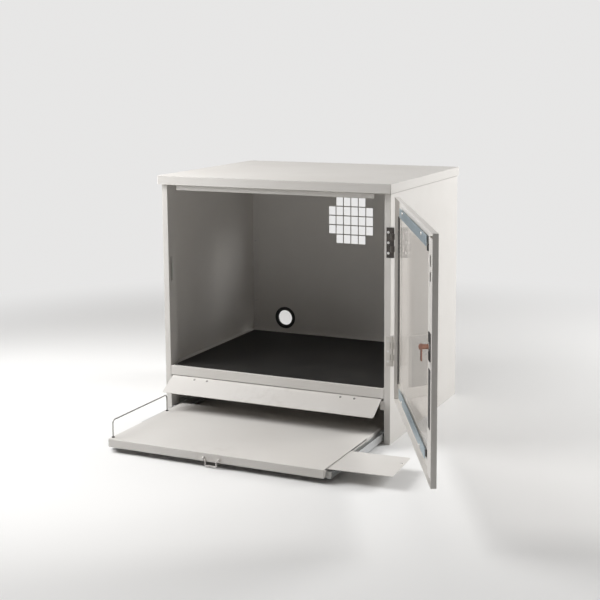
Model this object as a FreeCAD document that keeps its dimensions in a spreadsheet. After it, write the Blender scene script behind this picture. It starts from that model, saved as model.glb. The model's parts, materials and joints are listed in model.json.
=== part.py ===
import FreeCAD, Part
import os
import re
import Sketcher
from FreeCAD import Placement, Rotation, Vector

# Computer cabinet of folded sheet, drawn closed and then posed with the door open,
# the tray drawn out, the flap lifted and the side shelf swung out.
# Frame: origin on the floor at the centre of the footprint, front towards -Y, +Z up, millimetres.

# Driving sizes
SIZES = {
    # carcass
    "body_width": 630,
    "body_depth": 510,
    "body_height": 615,
    "sheet": 1.5,
    "stile_width": 16,
    "return_depth": 36,
    "rear_flange": 18,
    "top_flange": 20,
    "bend_round": 1.2,
    # lid and top rail
    "lid_side": 5,
    "lid_height": 23,
    "lid_round": 2,
    "rail_gap": 27,
    "rail_height": 14,
    "rail_lip": 20,
    # equipment shelf
    "shelf_level": 138,
    "sill_height": 24,
    "shelf_gap": 30,
    "shelf_flange": 20,
    "mat_thickness": 1.5,
    "mat_inset": 6.5,
    # rear panel
    "vent_hole_width": 20,
    "vent_hole_height": 24,
    "vent_bar": 3,
    "vent_drop": 141.2,
    "cable_hole": 28,
    "cable_inset": 105,
    "cable_level": 175,
    # door
    "door_rise": 1,
    "door_drop": 8,
    "door_gap": 1.5,
    "door_depth": 12,
    "door_sheet": 1.2,
    "door_open": 117,
    "barrel_gap": 0.3,
    "hinge_height": 73,
    "hinge_drop": 110,
    "hinge_rise": 118,
    "barrel_radius": 3.8,
    "pin_radius": 2,
    "pin_play": 0.05,
    "leaf_width": 10,
    "leaf_sheet": 1.3,
    # window
    "lock_border": 125,
    "hinge_border": 43,
    "low_border": 45,
    "high_border": 47,
    "pane_thickness": 4,
    "pane_lap": 22,
    "pane_edge": 15,
    "gasket_width": 7,
    "retainer_height": 22,
    "retainer_sheet": 1.5,
    "retainer_inset": 66,
    # lock side of the door
    "lock_inset": 35,
    "lock_level": 385,
    "lock_radius": 9,
    "spindle_radius": 5,
    "cam_length": 27.5,
    "cam_width": 12,
    "cam_setback": 12,
    "cam_sheet": 2.5,
    "keeper_below": 24,
    "keeper_above": 40,
    "channel_width": 48,
    "channel_inset": 12,
    "channel_gap": 1.5,
    "grip_width": 27,
    "grip_drop": 46,
    "grip_height": 115,
    "grip_wall": 2,
    # flap
    "flap_setback": 1.7,
    "flap_drop": 4.7,
    "flap_height": 65,
    "flap_gap": 6,
    "flap_sheet": 1.4,
    "flap_lift": 60,
    "flap_hinge_inset": 87,
    "flap_hinge_length": 50,
    "flap_barrel": 2.2,
    "flap_pin": 1.2,
    "flap_corner": 6,
    # tray and slides
    "stage_travel": 156,
    "slide_space": 17,
    "tray_depth": 345,
    "tray_level": 33,
    "tray_height": 20,
    "tray_proud": 11,
    "slide_length": 330,
    "slide_clear": 0.7,
    "slide_height": 22,
    "slide_sheet": 1.2,
    "slide_play": 0.5,
    # wire guard and bail
    "guard_inset": 4.5,
    "guard_rise": 44,
    "guard_front": 14.5,
    "guard_length": 248.5,
    "guard_wire": 1.5,
    "guard_bend": 9,
    "bail_width": 32,
    "bail_drop": 15,
    "bail_wire": 1.5,
    "bail_sink": 13,
    # side shelf
    "swing_inset": 27,
    "swing_y": 41,
    "swing_angle": 3.7,
    "swing_sheet": 1.5,
    "swing_play": 0.8,
    "swing_reach": 178,
    "swing_tail": 18,
    "swing_front": 24,
    "swing_back": 112,
    "swing_corner": 12,
    "swing_tip": 4,
    "swing_pin": 4,
}

# Names for positions that follow from the sizes
FORMULAS = {
    "half": "body_width / 2",
    "front": "-body_depth / 2",
    "back": "body_depth / 2",
    "inner": "half - sheet",
    "opening": "half - stile_width",
    "lid_half": "half + lid_side",
    "lid_overhang": "door_gap + door_depth",
    "lid_top": "body_height + lid_height",
    "rail_half": "opening - rail_gap",
    "sill_low": "shelf_level - sill_height",
    "shelf_back": "back - shelf_gap",
    "vent_level": "body_height - vent_drop",
    "cable_x": "half - cable_inset",
    "rear_pitch": "(body_height - 75) / 3",
    "door_bottom": "sill_low + door_rise",
    "door_top": "body_height - door_drop",
    "hinge_x": "half + barrel_radius + barrel_gap",
    "hinge_y": "front + barrel_radius - leaf_sheet",
    "hinge_upper": "door_top - hinge_drop",
    "hinge_lower": "door_bottom + hinge_rise",
    "rim": "front - door_gap",
    "face": "rim - door_depth",
    "skin": "face + door_sheet",
    "pane_top": "skin + pane_thickness",
    "window_left": "half - lock_border",
    "window_right": "half - hinge_border",
    "window_low": "door_bottom + low_border",
    "window_high": "door_top - high_border",
    "pane_left": "-(window_left + pane_lap)",
    "pane_right": "window_right + pane_lap + 2",
    "pane_low": "window_low - pane_edge",
    "pane_high": "window_high + pane_edge",
    "strip_top": "pane_top + retainer_sheet",
    "channel_left": "-half + channel_inset",
    "channel_right": "channel_left + channel_width",
    "channel_face": "rim - channel_gap",
    "lock_x": "-half + lock_inset",
    "cam_y": "front + cam_setback",
    "keeper_low": "lock_level - keeper_below",
    "keeper_high": "lock_level + keeper_above",
    "grip_high": "lock_level - grip_drop",
    "grip_low": "grip_high - grip_height",
    "grip_x": "(channel_left + channel_right) / 2 + 1.5",
    "flap_level": "sill_low - flap_drop",
    "flap_half": "opening - flap_gap",
    "flap_hinge_x": "flap_half - flap_hinge_inset",
    "flap_y": "front + flap_setback",
    "flap_back": "flap_y - flap_barrel - 0.3",
    "tray_half": "opening - slide_space",
    "tray_front": "front - tray_proud",
    "tray_under": "tray_level - sheet",
    "tray_low": "tray_level - tray_height",
    "swing_x": "tray_half - swing_inset",
    "swing_level": "tray_under - swing_play - swing_sheet",
    "slide_level": "swing_level - slide_clear - slide_height / 2",
    "mount_low": "slide_level - slide_height / 2 - 1.5",
    "mount_high": "slide_level + slide_height / 2 + 1.5",
    "slide_front": "front + 4",
    "slide_back": "slide_front + slide_length",
    "guard_x": "-tray_half + guard_inset",
    "guard_y": "tray_front + guard_front",
    "guard_top": "tray_level + guard_rise",
    "bail_level": "tray_level - bail_sink",
    "bail_y": "tray_front - 4.5",
}

doc = FreeCAD.newDocument("computer_cabinet")
sizes = doc.addObject("Spreadsheet::Sheet", "Sizes")
for row, (alias, number) in enumerate(SIZES.items(), start=1):
    sizes.set("A%d" % row, alias)
    sizes.set("B%d" % row, str(number))
    sizes.setAlias("B%d" % row, alias)
doc.recompute()

nodes = []


def expand(text):
    """Spell a short formula out in terms of the spreadsheet's cells."""

    def spell(match):
        word = match.group(0)
        if word in FORMULAS:
            return "(" + expand(FORMULAS[word]) + ")"
        if word in SIZES:
            return "Sizes." + word
        return word

    return re.sub(r"[A-Za-z_]\w*", spell, str(text))


def value(text):
    """Number a formula stands for."""
    return float(sizes.evalExpression(expand(text)))


def bind(item, prop, text):
    item.setExpression(prop, expand(text))


def box(name, x, y, z):
    """Box between pairs of formulas along X, Y and Z."""
    item = doc.addObject("Part::Box", name)
    for prop, axis, (low, high) in zip(("Length", "Width", "Height"), "xyz", (x, y, z)):
        bind(item, prop, "(%s) - (%s)" % (high, low))
        bind(item, "Placement.Base." + axis, low)
    return item


TURNS = {
    "x": Rotation(Vector(0, 1, 0), 90),
    "y": Rotation(Vector(1, 0, 0), -90),
    "z": Rotation(),
}


def rod(name, axis, centre, radius, span):
    """Cylinder along an axis; the centre gives the other two coordinates in order."""
    item = doc.addObject("Part::Cylinder", name)
    item.Placement = Placement(Vector(), TURNS[axis])
    bind(item, "Radius", radius)
    bind(item, "Height", "(%s) - (%s)" % (span[1], span[0]))
    others = [letter for letter in "xyz" if letter != axis]
    bind(item, "Placement.Base." + axis, span[0])
    for letter, text in zip(others, centre):
        bind(item, "Placement.Base." + letter, text)
    return item


def fuse(name, *parts):
    item = doc.addObject("Part::MultiFuse", name)
    item.Shapes = list(parts)
    item.Refine = True
    return item


def group(name, parts):
    item = doc.addObject("Part::Compound", name)
    item.Links = list(parts)
    return item


def cut(name, base, *tools):
    item = doc.addObject("Part::Cut", name)
    item.Base = base
    item.Tool = tools[0] if len(tools) == 1 else group(name + "_tools", tools)
    item.Refine = True
    return item


def soften(name, base, radius, wanted):
    """Round the edges whose ends satisfy the given test."""
    doc.recompute()
    size = value(radius)
    picked = []
    for number, edge in enumerate(base.Shape.Edges, start=1):
        ends = [vertex.Point for vertex in edge.Vertexes]
        if len(ends) == 2 and wanted(ends[0], ends[1]):
            picked.append((number, size, size))
    item = doc.addObject("Part::Fillet", name)
    item.Base = base
    item.Edges = picked
    return item


def near(number, text):
    return abs(number - value(text)) < 0.01


def sided(side, low, high):
    """Pair of X formulas for the right side (1) or mirrored to the left (-1)."""
    if side > 0:
        return (low, high)
    return ("-(%s)" % high, "-(%s)" % low)


def signed(side, text):
    return text if side > 0 else "-(%s)" % text


def pose(item, pieces):
    """Bind the placement that carries a closed piece to where it is shown."""
    if pieces in ("door", "lock"):
        turn = "(door_open * 1 deg)"
        item.Placement = Placement(Vector(), Rotation(Vector(0, 0, 1), 1))
        bind(item, "Placement.Rotation.Angle", "door_open * 1 deg")
        bind(item, "Placement.Base.x", "hinge_x - hinge_x * cos%s + hinge_y * sin%s" % (turn, turn))
        bind(item, "Placement.Base.y", "hinge_y - hinge_x * sin%s - hinge_y * cos%s" % (turn, turn))
    elif pieces == "flap":
        turn = "(flap_lift * 1 deg)"
        item.Placement = Placement(Vector(), Rotation(Vector(-1, 0, 0), 1))
        bind(item, "Placement.Rotation.Angle", "flap_lift * 1 deg")
        bind(item, "Placement.Base.y", "flap_y - flap_y * cos%s - flap_level * sin%s" % (turn, turn))
        bind(item, "Placement.Base.z", "flap_level + flap_y * sin%s - flap_level * cos%s" % (turn, turn))
    elif pieces == "runners":
        bind(item, "Placement.Base.y", "-stage_travel")
    elif pieces == "tray":
        bind(item, "Placement.Base.y", "-2 * stage_travel")
    return item


def keep(item, label, pieces="cabinet"):
    """Name a finished piece and pose it."""
    item.Label = label
    pose(item, pieces)
    nodes.append(item)
    return item


def plane(body, role):
    return [item for item in body.Origin.OriginFeatures if item.Role == role][0]


def sketch_on(body, role, name):
    item = body.newObject("Sketcher::SketchObject", name)
    item.AttachmentSupport = [(plane(body, role), "")]
    item.MapMode = "FlatFace"
    return item


def add_rectangle(sketch, left, right, low, high):
    """Rectangle whose four sides are held at formulas measured from the origin."""
    corners = [
        (value(left), value(low)),
        (value(right), value(low)),
        (value(right), value(high)),
        (value(left), value(high)),
    ]
    first = sketch.GeometryCount
    for number in range(4):
        start = Vector(*corners[number], 0)
        end = Vector(*corners[(number + 1) % 4], 0)
        sketch.addGeometry(Part.LineSegment(start, end))
    for number in range(4):
        following = first + (number + 1) % 4
        sketch.addConstraint(Sketcher.Constraint("Coincident", first + number, 2, following, 1))
    for number in (0, 2):
        sketch.addConstraint(Sketcher.Constraint("Horizontal", first + number))
        sketch.addConstraint(Sketcher.Constraint("Vertical", first + number + 1))
    held = (
        ("DistanceX", first, 1, left),
        ("DistanceX", first, 2, right),
        ("DistanceY", first, 1, low),
        ("DistanceY", first + 2, 1, high),
    )
    for kind, line, end, text in held:
        index = sketch.addConstraint(Sketcher.Constraint(kind, -1, 1, line, end, value(text)))
        sketch.setExpression("Constraints[%d]" % index, expand(text))


def add_circle(sketch, across, up, radius):
    """Circle held at formulas measured from the origin."""
    centre = Vector(value(across), value(up), 0)
    number = sketch.addGeometry(Part.Circle(centre, Vector(0, 0, 1), value(radius)))
    for kind, text in (("DistanceX", across), ("DistanceY", up)):
        index = sketch.addConstraint(Sketcher.Constraint(kind, -1, 1, number, 3, value(text)))
        sketch.setExpression("Constraints[%d]" % index, expand(text))
    index = sketch.addConstraint(Sketcher.Constraint("Radius", number, value(radius)))
    sketch.setExpression("Constraints[%d]" % index, expand(radius))


def pad(body, sketch, length, name):
    item = body.newObject("PartDesign::Pad", name)
    item.Profile = sketch
    bind(item, "Length", length)
    body.Tip = item
    return item


def pocket(body, sketch, name):
    item = body.newObject("PartDesign::Pocket", name)
    item.Profile = sketch
    item.Type = "ThroughAll"
    item.Reversed = True
    body.Tip = item
    return item


def repeat(body, feature, sketch, length, times, name):
    item = body.newObject("PartDesign::LinearPattern", name)
    item.Originals = [feature]
    item.Direction = (sketch, ["H_Axis"])
    bind(item, "Length", length)
    item.Occurrences = times
    body.Tip = item
    return item


# Screw places shared by the pieces they join
LID_SCREWS = [(side, text) for side in (-1, 1) for text in ("front + 60", "0", "back - 60")]
LID_SCREW_X = "half - top_flange / 2 - 1"
REAR_SCREWS = [(side, "40 + %d * rear_pitch" % step) for side in (-1, 1) for step in range(4)]
REAR_SCREW_X = "half - rear_flange / 2 - 1"
LEAF_SCREW_X = "half - leaf_width / 2 - 0.5"
LEAF_SCREW_STEPS = ("-(hinge_height / 2 - 11.5)", "0", "hinge_height / 2 - 11.5")
LEAF_RIVET_STEPS = ("-(hinge_height / 2 - 14.5)", "hinge_height / 2 - 14.5")
HINGES = {"upper": "hinge_upper", "lower": "hinge_lower"}
SLIDE_RIVETS = ("slide_front + 70", "slide_back - 50")
TRAY_SCREWS = ("slide_front + 40", "slide_back - 40")


# Side panels
def side_panel(side, label):
    wall = box(label + "_wall", sided(side, "inner", "half"), ("front", "back"), (0, "body_height"))
    stile = box(
        label + "_stile",
        sided(side, "opening", "half"),
        ("front", "front + sheet"),
        (0, "body_height"),
    )
    fold = box(
        label + "_return",
        sided(side, "opening", "opening + sheet"),
        ("front", "front + return_depth"),
        (0, "body_height"),
    )
    rear = box(
        label + "_rear",
        sided(side, "half - rear_flange", "half"),
        ("back - 2 * sheet", "back - sheet"),
        (0, "body_height"),
    )
    top = box(
        label + "_top",
        sided(side, "half - top_flange", "half"),
        ("front", "back - sheet"),
        ("body_height - sheet", "body_height"),
    )
    folded = fuse(label + "_folded", wall, stile, fold, rear, top)

    def front_bend(start, end):
        upright = abs(start.x - end.x) < 0.01 and abs(start.y - end.y) < 0.01
        places = near(abs(start.x), "half") or near(abs(start.x), "opening")
        return upright and near(start.y, "front") and places

    bent = soften(label + "_bent", folded, "bend_round", front_bend)
    holes = []
    for number, (mine, along) in enumerate(LID_SCREWS):
        if mine == side:
            centre = (signed(side, LID_SCREW_X), along)
            span = ("body_height - 2 * sheet", "body_height + sheet")
            holes.append(rod("%s_lid_hole_%d" % (label, number), "z", centre, 2.1, span))
    for number, (mine, level) in enumerate(REAR_SCREWS):
        if mine == side:
            centre = (signed(side, REAR_SCREW_X), level)
            span = ("back - 3 * sheet", "back")
            holes.append(rod("%s_rear_hole_%d" % (label, number), "y", centre, 2.1, span))
    if side > 0:
        for where, level in HINGES.items():
            for number, step in enumerate(LEAF_SCREW_STEPS):
                centre = (LEAF_SCREW_X, "%s + %s" % (level, step))
                name = "%s_%s_hole_%d" % (label, where, number)
                holes.append(rod(name, "y", centre, 1.7, ("front - 1", "front + 2 * sheet")))
    else:
        across = ("-(opening + 2 * sheet)", "-(opening - sheet)")
        along = ("cam_y - 3", "cam_y + cam_sheet + 3.5")
        holes.append(box(label + "_keeper", across, along, ("keeper_low", "keeper_high")))
    return keep(cut(label + "_cut", bent, *holes), label)


side_panel(-1, "left_side_panel")
side_panel(1, "right_side_panel")

# Base panel
base_main = box(
    "base_main",
    ("-inner", "inner"),
    ("front + return_depth + 0.5", "back - 2 * sheet"),
    (0, "sheet"),
)
base_tongue = box(
    "base_tongue",
    ("-(opening - 0.5)", "opening - 0.5"),
    ("front", "front + return_depth + 0.5"),
    (0, "sheet"),
)
base_lip = box(
    "base_lip",
    ("-(opening - 0.5)", "opening - 0.5"),
    ("front", "front + sheet"),
    (0, "sheet + 3.5"),
)
keep(fuse("base_fused", base_main, base_tongue, base_lip), "base_panel")

# Rear panel with its field of vent holes
rear = doc.addObject("PartDesign::Body", "rear_body")
rear_outline = sketch_on(rear, "XZ_Plane", "rear_outline")
add_rectangle(rear_outline, "-(inner - 0.1)", "inner - 0.1", "2", "body_height - 2")
pad(rear, rear_outline, "sheet", "rear_pad")
rear_round = sketch_on(rear, "XZ_Plane", "rear_round")
add_circle(rear_round, "-cable_x", "cable_level", "cable_hole")
for side, level in REAR_SCREWS:
    add_circle(rear_round, signed(side, REAR_SCREW_X), level, "2.1")
pocket(rear, rear_round, "rear_round_holes")
PITCH_X = "(vent_hole_width + vent_bar)"
PITCH_Z = "(vent_hole_height + vent_bar)"
for columns, rows, name in ((6, (-1, 0, 1), "wide"), (4, (-2, 2), "narrow")):
    sketch = sketch_on(rear, "XZ_Plane", "vent_" + name)
    left = "-(%d * %s - vent_bar) / 2" % (columns, PITCH_X)
    for step in rows:
        level = "vent_level + %d * %s" % (step, PITCH_Z)
        low = "%s - vent_hole_height / 2" % level
        high = "%s + vent_hole_height / 2" % level
        add_rectangle(sketch, left, "%s + vent_hole_width" % left, low, high)
    column = pocket(rear, sketch, "vent_%s_column" % name)
    repeat(rear, column, sketch, "%d * %s" % (columns - 1, PITCH_X), columns, "vent_%s_field" % name)
bind(rear, "Placement.Base.y", "back")
keep(rear, "rear_panel")

# Cable grommet in the rear panel
OUTLET = ("-cable_x", "cable_level")
ring_back = rod("ring_back", "y", OUTLET, "cable_hole + 4", ("back", "back + 2"))
ring_neck = rod("ring_neck", "y", OUTLET, "cable_hole - 0.1", ("back - sheet", "back"))
ring_fore = rod("ring_fore", "y", OUTLET, "cable_hole + 4", ("back - sheet - 2", "back - sheet"))
ring_bore = rod("ring_bore", "y", OUTLET, "cable_hole - 6", ("back - 10", "back + 10"))
keep(cut("ring_cut", fuse("ring", ring_back, ring_neck, ring_fore), ring_bore), "cable_grommet")

rear_screws = []
for number, (side, level) in enumerate(REAR_SCREWS):
    centre = (signed(side, REAR_SCREW_X), level)
    head = rod("rear_head_%d" % number, "y", centre, 4, ("back", "back + 2.4"))
    shank = rod("rear_shank_%d" % number, "y", centre, 2, ("back - 7", "back"))
    rear_screws.append(fuse("rear_screw_%d" % number, head, shank))
keep(group("rear_screw_group", rear_screws), "rear_panel_screws")

# Lid, a folded pan with a lip all round its underside
lid_block = box(
    "lid_block",
    ("-lid_half", "lid_half"),
    ("front - lid_overhang", "back"),
    ("body_height", "lid_top"),
)


def lid_edge(start, end):
    upright = abs(start.z - end.z) > 1
    return upright or near(start.z, "lid_top")


lid_soft = soften("lid_soft", lid_block, "lid_round", lid_edge)
lid_room = box(
    "lid_room",
    ("-(lid_half - sheet)", "lid_half - sheet"),
    ("front - lid_overhang + sheet", "back - sheet"),
    ("body_height + sheet", "lid_top - sheet"),
)
lid_mouth = box(
    "lid_mouth",
    ("-(half - top_flange)", "half - top_flange"),
    ("front + rail_lip", "back - rear_flange"),
    ("body_height - 1", "body_height + 2 * sheet"),
)
lid_holes = []
for number, (side, along) in enumerate(LID_SCREWS):
    centre = (signed(side, LID_SCREW_X), along)
    span = ("body_height - 1", "body_height + 2 * sheet")
    lid_holes.append(rod("lid_hole_%d" % number, "z", centre, 2.1, span))
keep(cut("lid_cut", lid_soft, lid_room, lid_mouth, *lid_holes), "lid")

lid_screws = []
for number, (side, along) in enumerate(LID_SCREWS):
    centre = (signed(side, LID_SCREW_X), along)
    head = rod("lid_head_%d" % number, "z", centre, 4, ("body_height - sheet - 2.4", "body_height - sheet"))
    shank = rod("lid_shank_%d" % number, "z", centre, 2, ("body_height - sheet", "body_height + 4"))
    lid_screws.append(fuse("lid_screw_%d" % number, head, shank))
keep(group("lid_screw_group", lid_screws), "lid_screws")

# Top front rail
rail_face = box(
    "rail_face",
    ("-rail_half", "rail_half"),
    ("front", "front + sheet"),
    ("body_height - rail_height", "body_height"),
)
rail_lip = box(
    "rail_lip_box",
    ("-rail_half", "rail_half"),
    ("front", "front + rail_lip"),
    ("body_height - sheet", "body_height"),
)
keep(fuse("rail", rail_face, rail_lip), "top_rail")

# Equipment shelf with its folded sill
shelf_fore = box(
    "shelf_fore",
    ("-(opening - 0.5)", "opening - 0.5"),
    ("front", "front + return_depth + 2"),
    ("shelf_level - sheet", "shelf_level"),
)
shelf_main = box(
    "shelf_main",
    ("-(inner - 0.5)", "inner - 0.5"),
    ("front + return_depth + 2", "shelf_back"),
    ("shelf_level - sheet", "shelf_level"),
)
shelf_sill = box(
    "shelf_sill",
    ("-(opening - 0.5)", "opening - 0.5"),
    ("front", "front + sheet"),
    ("sill_low", "shelf_level"),
)
shelf_pieces = [shelf_fore, shelf_main, shelf_sill]
for side in (-1, 1):
    shelf_pieces.append(
        box(
            "shelf_side_%d" % (side + 1),
            sided(side, "inner - 0.5 - sheet", "inner - 0.5"),
            ("front + return_depth + 2", "shelf_back"),
            ("shelf_level - shelf_flange", "shelf_level"),
        )
    )


def sill_bend(start, end):
    level = near(start.z, "shelf_level") and near(end.z, "shelf_level")
    return level and near(start.y, "front") and near(end.y, "front")


shelf_folded = fuse("shelf_folded", *shelf_pieces)
keep(soften("shelf_bent", shelf_folded, "bend_round", sill_bend), "equipment_shelf")

shelf_mat = box(
    "shelf_mat_box",
    ("-(opening - mat_inset)", "opening - mat_inset"),
    ("front + 8", "shelf_back - 10"),
    ("shelf_level", "shelf_level + mat_thickness"),
)
keep(shelf_mat, "shelf_mat")

# Brackets at the ends of the flap
for side, label in ((-1, "end_bracket_left"), (1, "end_bracket_right")):
    tab = box(
        label + "_tab",
        sided(side, "opening - 10", "opening"),
        ("front + 0.6", "front + 2"),
        ("sill_low - 29", "flap_level - 1"),
    )
    leg = box(
        label + "_leg",
        sided(side, "opening - sheet", "opening"),
        ("front + 0.6", "front + 20"),
        ("sill_low - 29", "sill_low"),
    )
    keep(fuse(label + "_fused", tab, leg), label)


# Telescopic slides: channel members one inside the other
def channel(label, side, web, reach, height, span, holes):
    """Channel with its web at one X pair and two lips that reach to another X pair."""
    pieces = [
        box(
            label + "_web",
            sided(side, *web),
            span,
            ("slide_level - (%s) / 2" % height, "slide_level + (%s) / 2" % height),
        )
    ]
    for end, sign in (("low", "-"), ("high", "+")):
        edge = "slide_level %s (%s) / 2" % (sign, height)
        inside = "slide_level %s ((%s) / 2 - slide_sheet)" % (sign, height)
        pair = (edge, inside) if sign == "-" else (inside, edge)
        pieces.append(box("%s_%s" % (label, end), sided(side, *reach), span, pair))
    folded = fuse(label + "_folded", *pieces)
    drilled = []
    for number, along in enumerate(holes):
        centre = (along, "slide_level")
        through = sided(side, "tray_half - 5", "half")
        drilled.append(rod("%s_hole_%d" % (label, number), "x", centre, 1.6, through))
    return cut(label + "_cut", folded, *drilled) if drilled else folded


OUTER_HEIGHT = "slide_height"
MIDDLE_HEIGHT = "slide_height - 2 * slide_sheet - 2 * slide_play"
INNER_HEIGHT = "slide_height - 4 * slide_sheet - 4 * slide_play"
SPAN = ("slide_front", "slide_back")
for side, end in ((-1, "left"), (1, "right")):
    outer = channel(
        "outer_" + end,
        side,
        ("opening - slide_sheet", "opening"),
        ("tray_half + 5.5", "opening"),
        OUTER_HEIGHT,
        SPAN,
        SLIDE_RIVETS,
    )
    keep(outer, "slide_outer_" + end)
    middle = channel(
        "middle_" + end,
        side,
        ("opening - 4", "opening - 4 + slide_sheet"),
        ("tray_half + 3.5", "opening - 4 + slide_sheet"),
        MIDDLE_HEIGHT,
        SPAN,
        (),
    )
    keep(middle, "slide_middle_" + end, "runners")
    inside = channel(
        "inner_" + end,
        side,
        ("tray_half", "tray_half + slide_sheet"),
        ("tray_half", "opening - 5.5"),
        INNER_HEIGHT,
        SPAN,
        TRAY_SCREWS,
    )
    keep(inside, "slide_inner_" + end, "tray")
    mount_face = box(
        "mount_face_" + end,
        sided(side, "opening", "opening + sheet"),
        ("front + return_depth + 9", "slide_back - 4"),
        ("mount_low", "mount_high"),
    )
    mount_top = box(
        "mount_top_" + end,
        sided(side, "opening", "inner"),
        ("front + return_depth + 9", "slide_back - 4"),
        ("mount_high - sheet", "mount_high"),
    )
    mount_base = box(
        "mount_base_" + end,
        sided(side, "opening", "inner"),
        ("front + return_depth + 9", "slide_back - 4"),
        ("mount_low", "mount_low + sheet"),
    )
    mount_holes = []
    for number, along in enumerate(SLIDE_RIVETS):
        name = "mount_hole_%s_%d" % (end, number)
        through = sided(side, "opening - 3", "opening + 5")
        mount_holes.append(rod(name, "x", (along, "slide_level"), 1.6, through))
    mount = fuse("mount_" + end, mount_face, mount_top, mount_base)
    keep(cut("mount_cut_" + end, mount, *mount_holes), "slide_mount_" + end)

slide_rivets = []
tray_screws = []
for side, end in ((-1, "left"), (1, "right")):
    for number, along in enumerate(SLIDE_RIVETS):
        name = "slide_%s_%d" % (end, number)
        centre = (along, "slide_level")
        head_span = sided(side, "opening - slide_sheet - 0.8", "opening - slide_sheet")
        shank_span = sided(side, "opening - slide_sheet - 0.4", "opening + sheet + 2")
        head = rod(name + "_head", "x", centre, 3, head_span)
        shank = rod(name + "_shank", "x", centre, 1.5, shank_span)
        slide_rivets.append(fuse(name + "_rivet", head, shank))
    for number, along in enumerate(TRAY_SCREWS):
        name = "tray_%s_%d" % (end, number)
        centre = (along, "slide_level")
        head_span = sided(side, "tray_half + slide_sheet", "tray_half + slide_sheet + 1.6")
        shank_span = sided(side, "tray_half - 6", "tray_half + slide_sheet + 0.8")
        head = rod(name + "_head", "x", centre, 3, head_span)
        shank = rod(name + "_shank", "x", centre, 1.5, shank_span)
        tray_screws.append(fuse(name + "_screw", head, shank))
keep(group("slide_rivet_group", slide_rivets), "slide_rivets")
keep(group("tray_screw_group", tray_screws), "tray_screws", "tray")

# Door hinges: five knuckles, three on the frame leaf and two on the door leaf
KNUCKLE = "(hinge_height / 5)"
HINGE = ("hinge_x", "hinge_y")
hinge_pins = []
frame_screws = []
door_rivets = []
for where, level in HINGES.items():
    low = "(%s - hinge_height / 2)" % level
    high = "(%s + hinge_height / 2)" % level
    frame_pieces = [
        box(
            "frame_plate_" + where,
            ("half - leaf_width - 0.5", "half - 0.5"),
            ("front - leaf_sheet", "front"),
            (low, high),
        )
    ]
    door_pieces = [
        box("door_plate_" + where, ("half", "half + 1.6"), ("face + 0.5", "rim - 0.5"), (low, high))
    ]
    for number in range(5):
        start = "%s + %d * %s + 0.2" % (low, number, KNUCKLE)
        end = "%s + %d * %s - 0.2" % (low, number + 1, KNUCKLE)
        name = "knuckle_%s_%d" % (where, number)
        barrel = rod(name, "z", HINGE, "barrel_radius", (start, end))
        if number % 2 == 0:
            neck_across = ("half - 0.6", "hinge_x")
            neck_along = ("front - leaf_sheet", "front")
            neck = box(name + "_neck", neck_across, neck_along, (start, end))
            frame_pieces += [barrel, neck]
        else:
            neck = box(name + "_neck", ("half + 0.3", "half + 1.6"), ("rim - 0.6", "hinge_y"), (start, end))
            door_pieces += [barrel, neck]
    bore_span = (low + " - 1", high + " + 1")
    frame_holes = [rod("frame_bore_" + where, "z", HINGE, "pin_radius + pin_play", bore_span)]
    for number, step in enumerate(LEAF_SCREW_STEPS):
        centre = (LEAF_SCREW_X, "%s + %s" % (level, step))
        name = "leaf_%s_%d" % (where, number)
        frame_holes.append(rod(name + "_hole", "y", centre, 1.7, ("front - 3", "front + 1")))
        head = rod(name + "_head", "y", centre, 3.2, ("front - leaf_sheet - 0.8", "front - leaf_sheet"))
        shank = rod(name + "_shank", "y", centre, 1.6, ("front - leaf_sheet - 0.4", "front + 6"))
        frame_screws.append(fuse(name + "_screw", head, shank))
    leaf = cut("frame_leaf_cut_" + where, fuse("frame_leaf_" + where, *frame_pieces), *frame_holes)
    keep(leaf, "hinge_frame_leaf_" + where)
    door_holes = [rod("door_bore_" + where, "z", HINGE, "pin_radius + pin_play", bore_span)]
    for number, step in enumerate(LEAF_RIVET_STEPS):
        centre = ("(face + rim) / 2", "%s + %s" % (level, step))
        name = "door_rivet_%s_%d" % (where, number)
        door_holes.append(rod(name + "_hole", "x", centre, 1.7, ("half - 2", "half + 3")))
        head = rod(name + "_head", "x", centre, 3, ("half + 1.6", "half + 2.6"))
        shank = rod(name + "_shank", "x", centre, 1.6, ("half - door_sheet - 1", "half + 2"))
        door_rivets.append(fuse(name + "_rivet", head, shank))
    leaf = cut("door_leaf_cut_" + where, fuse("door_leaf_" + where, *door_pieces), *door_holes)
    keep(leaf, "hinge_door_leaf_" + where, "door")
    stem = rod("pin_stem_" + where, "z", HINGE, "pin_radius", (low, high + " + 0.5"))
    cap = rod("pin_cap_" + where, "z", HINGE, "barrel_radius", (high + " + 0.2", high + " + 1.8"))
    hinge_pins.append(fuse("pin_" + where, stem, cap))
keep(group("hinge_pin_group", hinge_pins), "door_hinge_pins")
keep(group("frame_screw_group", frame_screws), "hinge_frame_screws")
keep(group("door_rivet_group", door_rivets), "hinge_door_rivets", "door")

# Door pan
pan_block = box("pan_block", ("-half", "half"), ("face", "rim"), ("door_bottom", "door_top"))


def pan_edge(start, end):
    on_face = near(start.y, "face") and near(end.y, "face")
    along = abs(start.y - end.y) > 1
    return on_face or along


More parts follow.
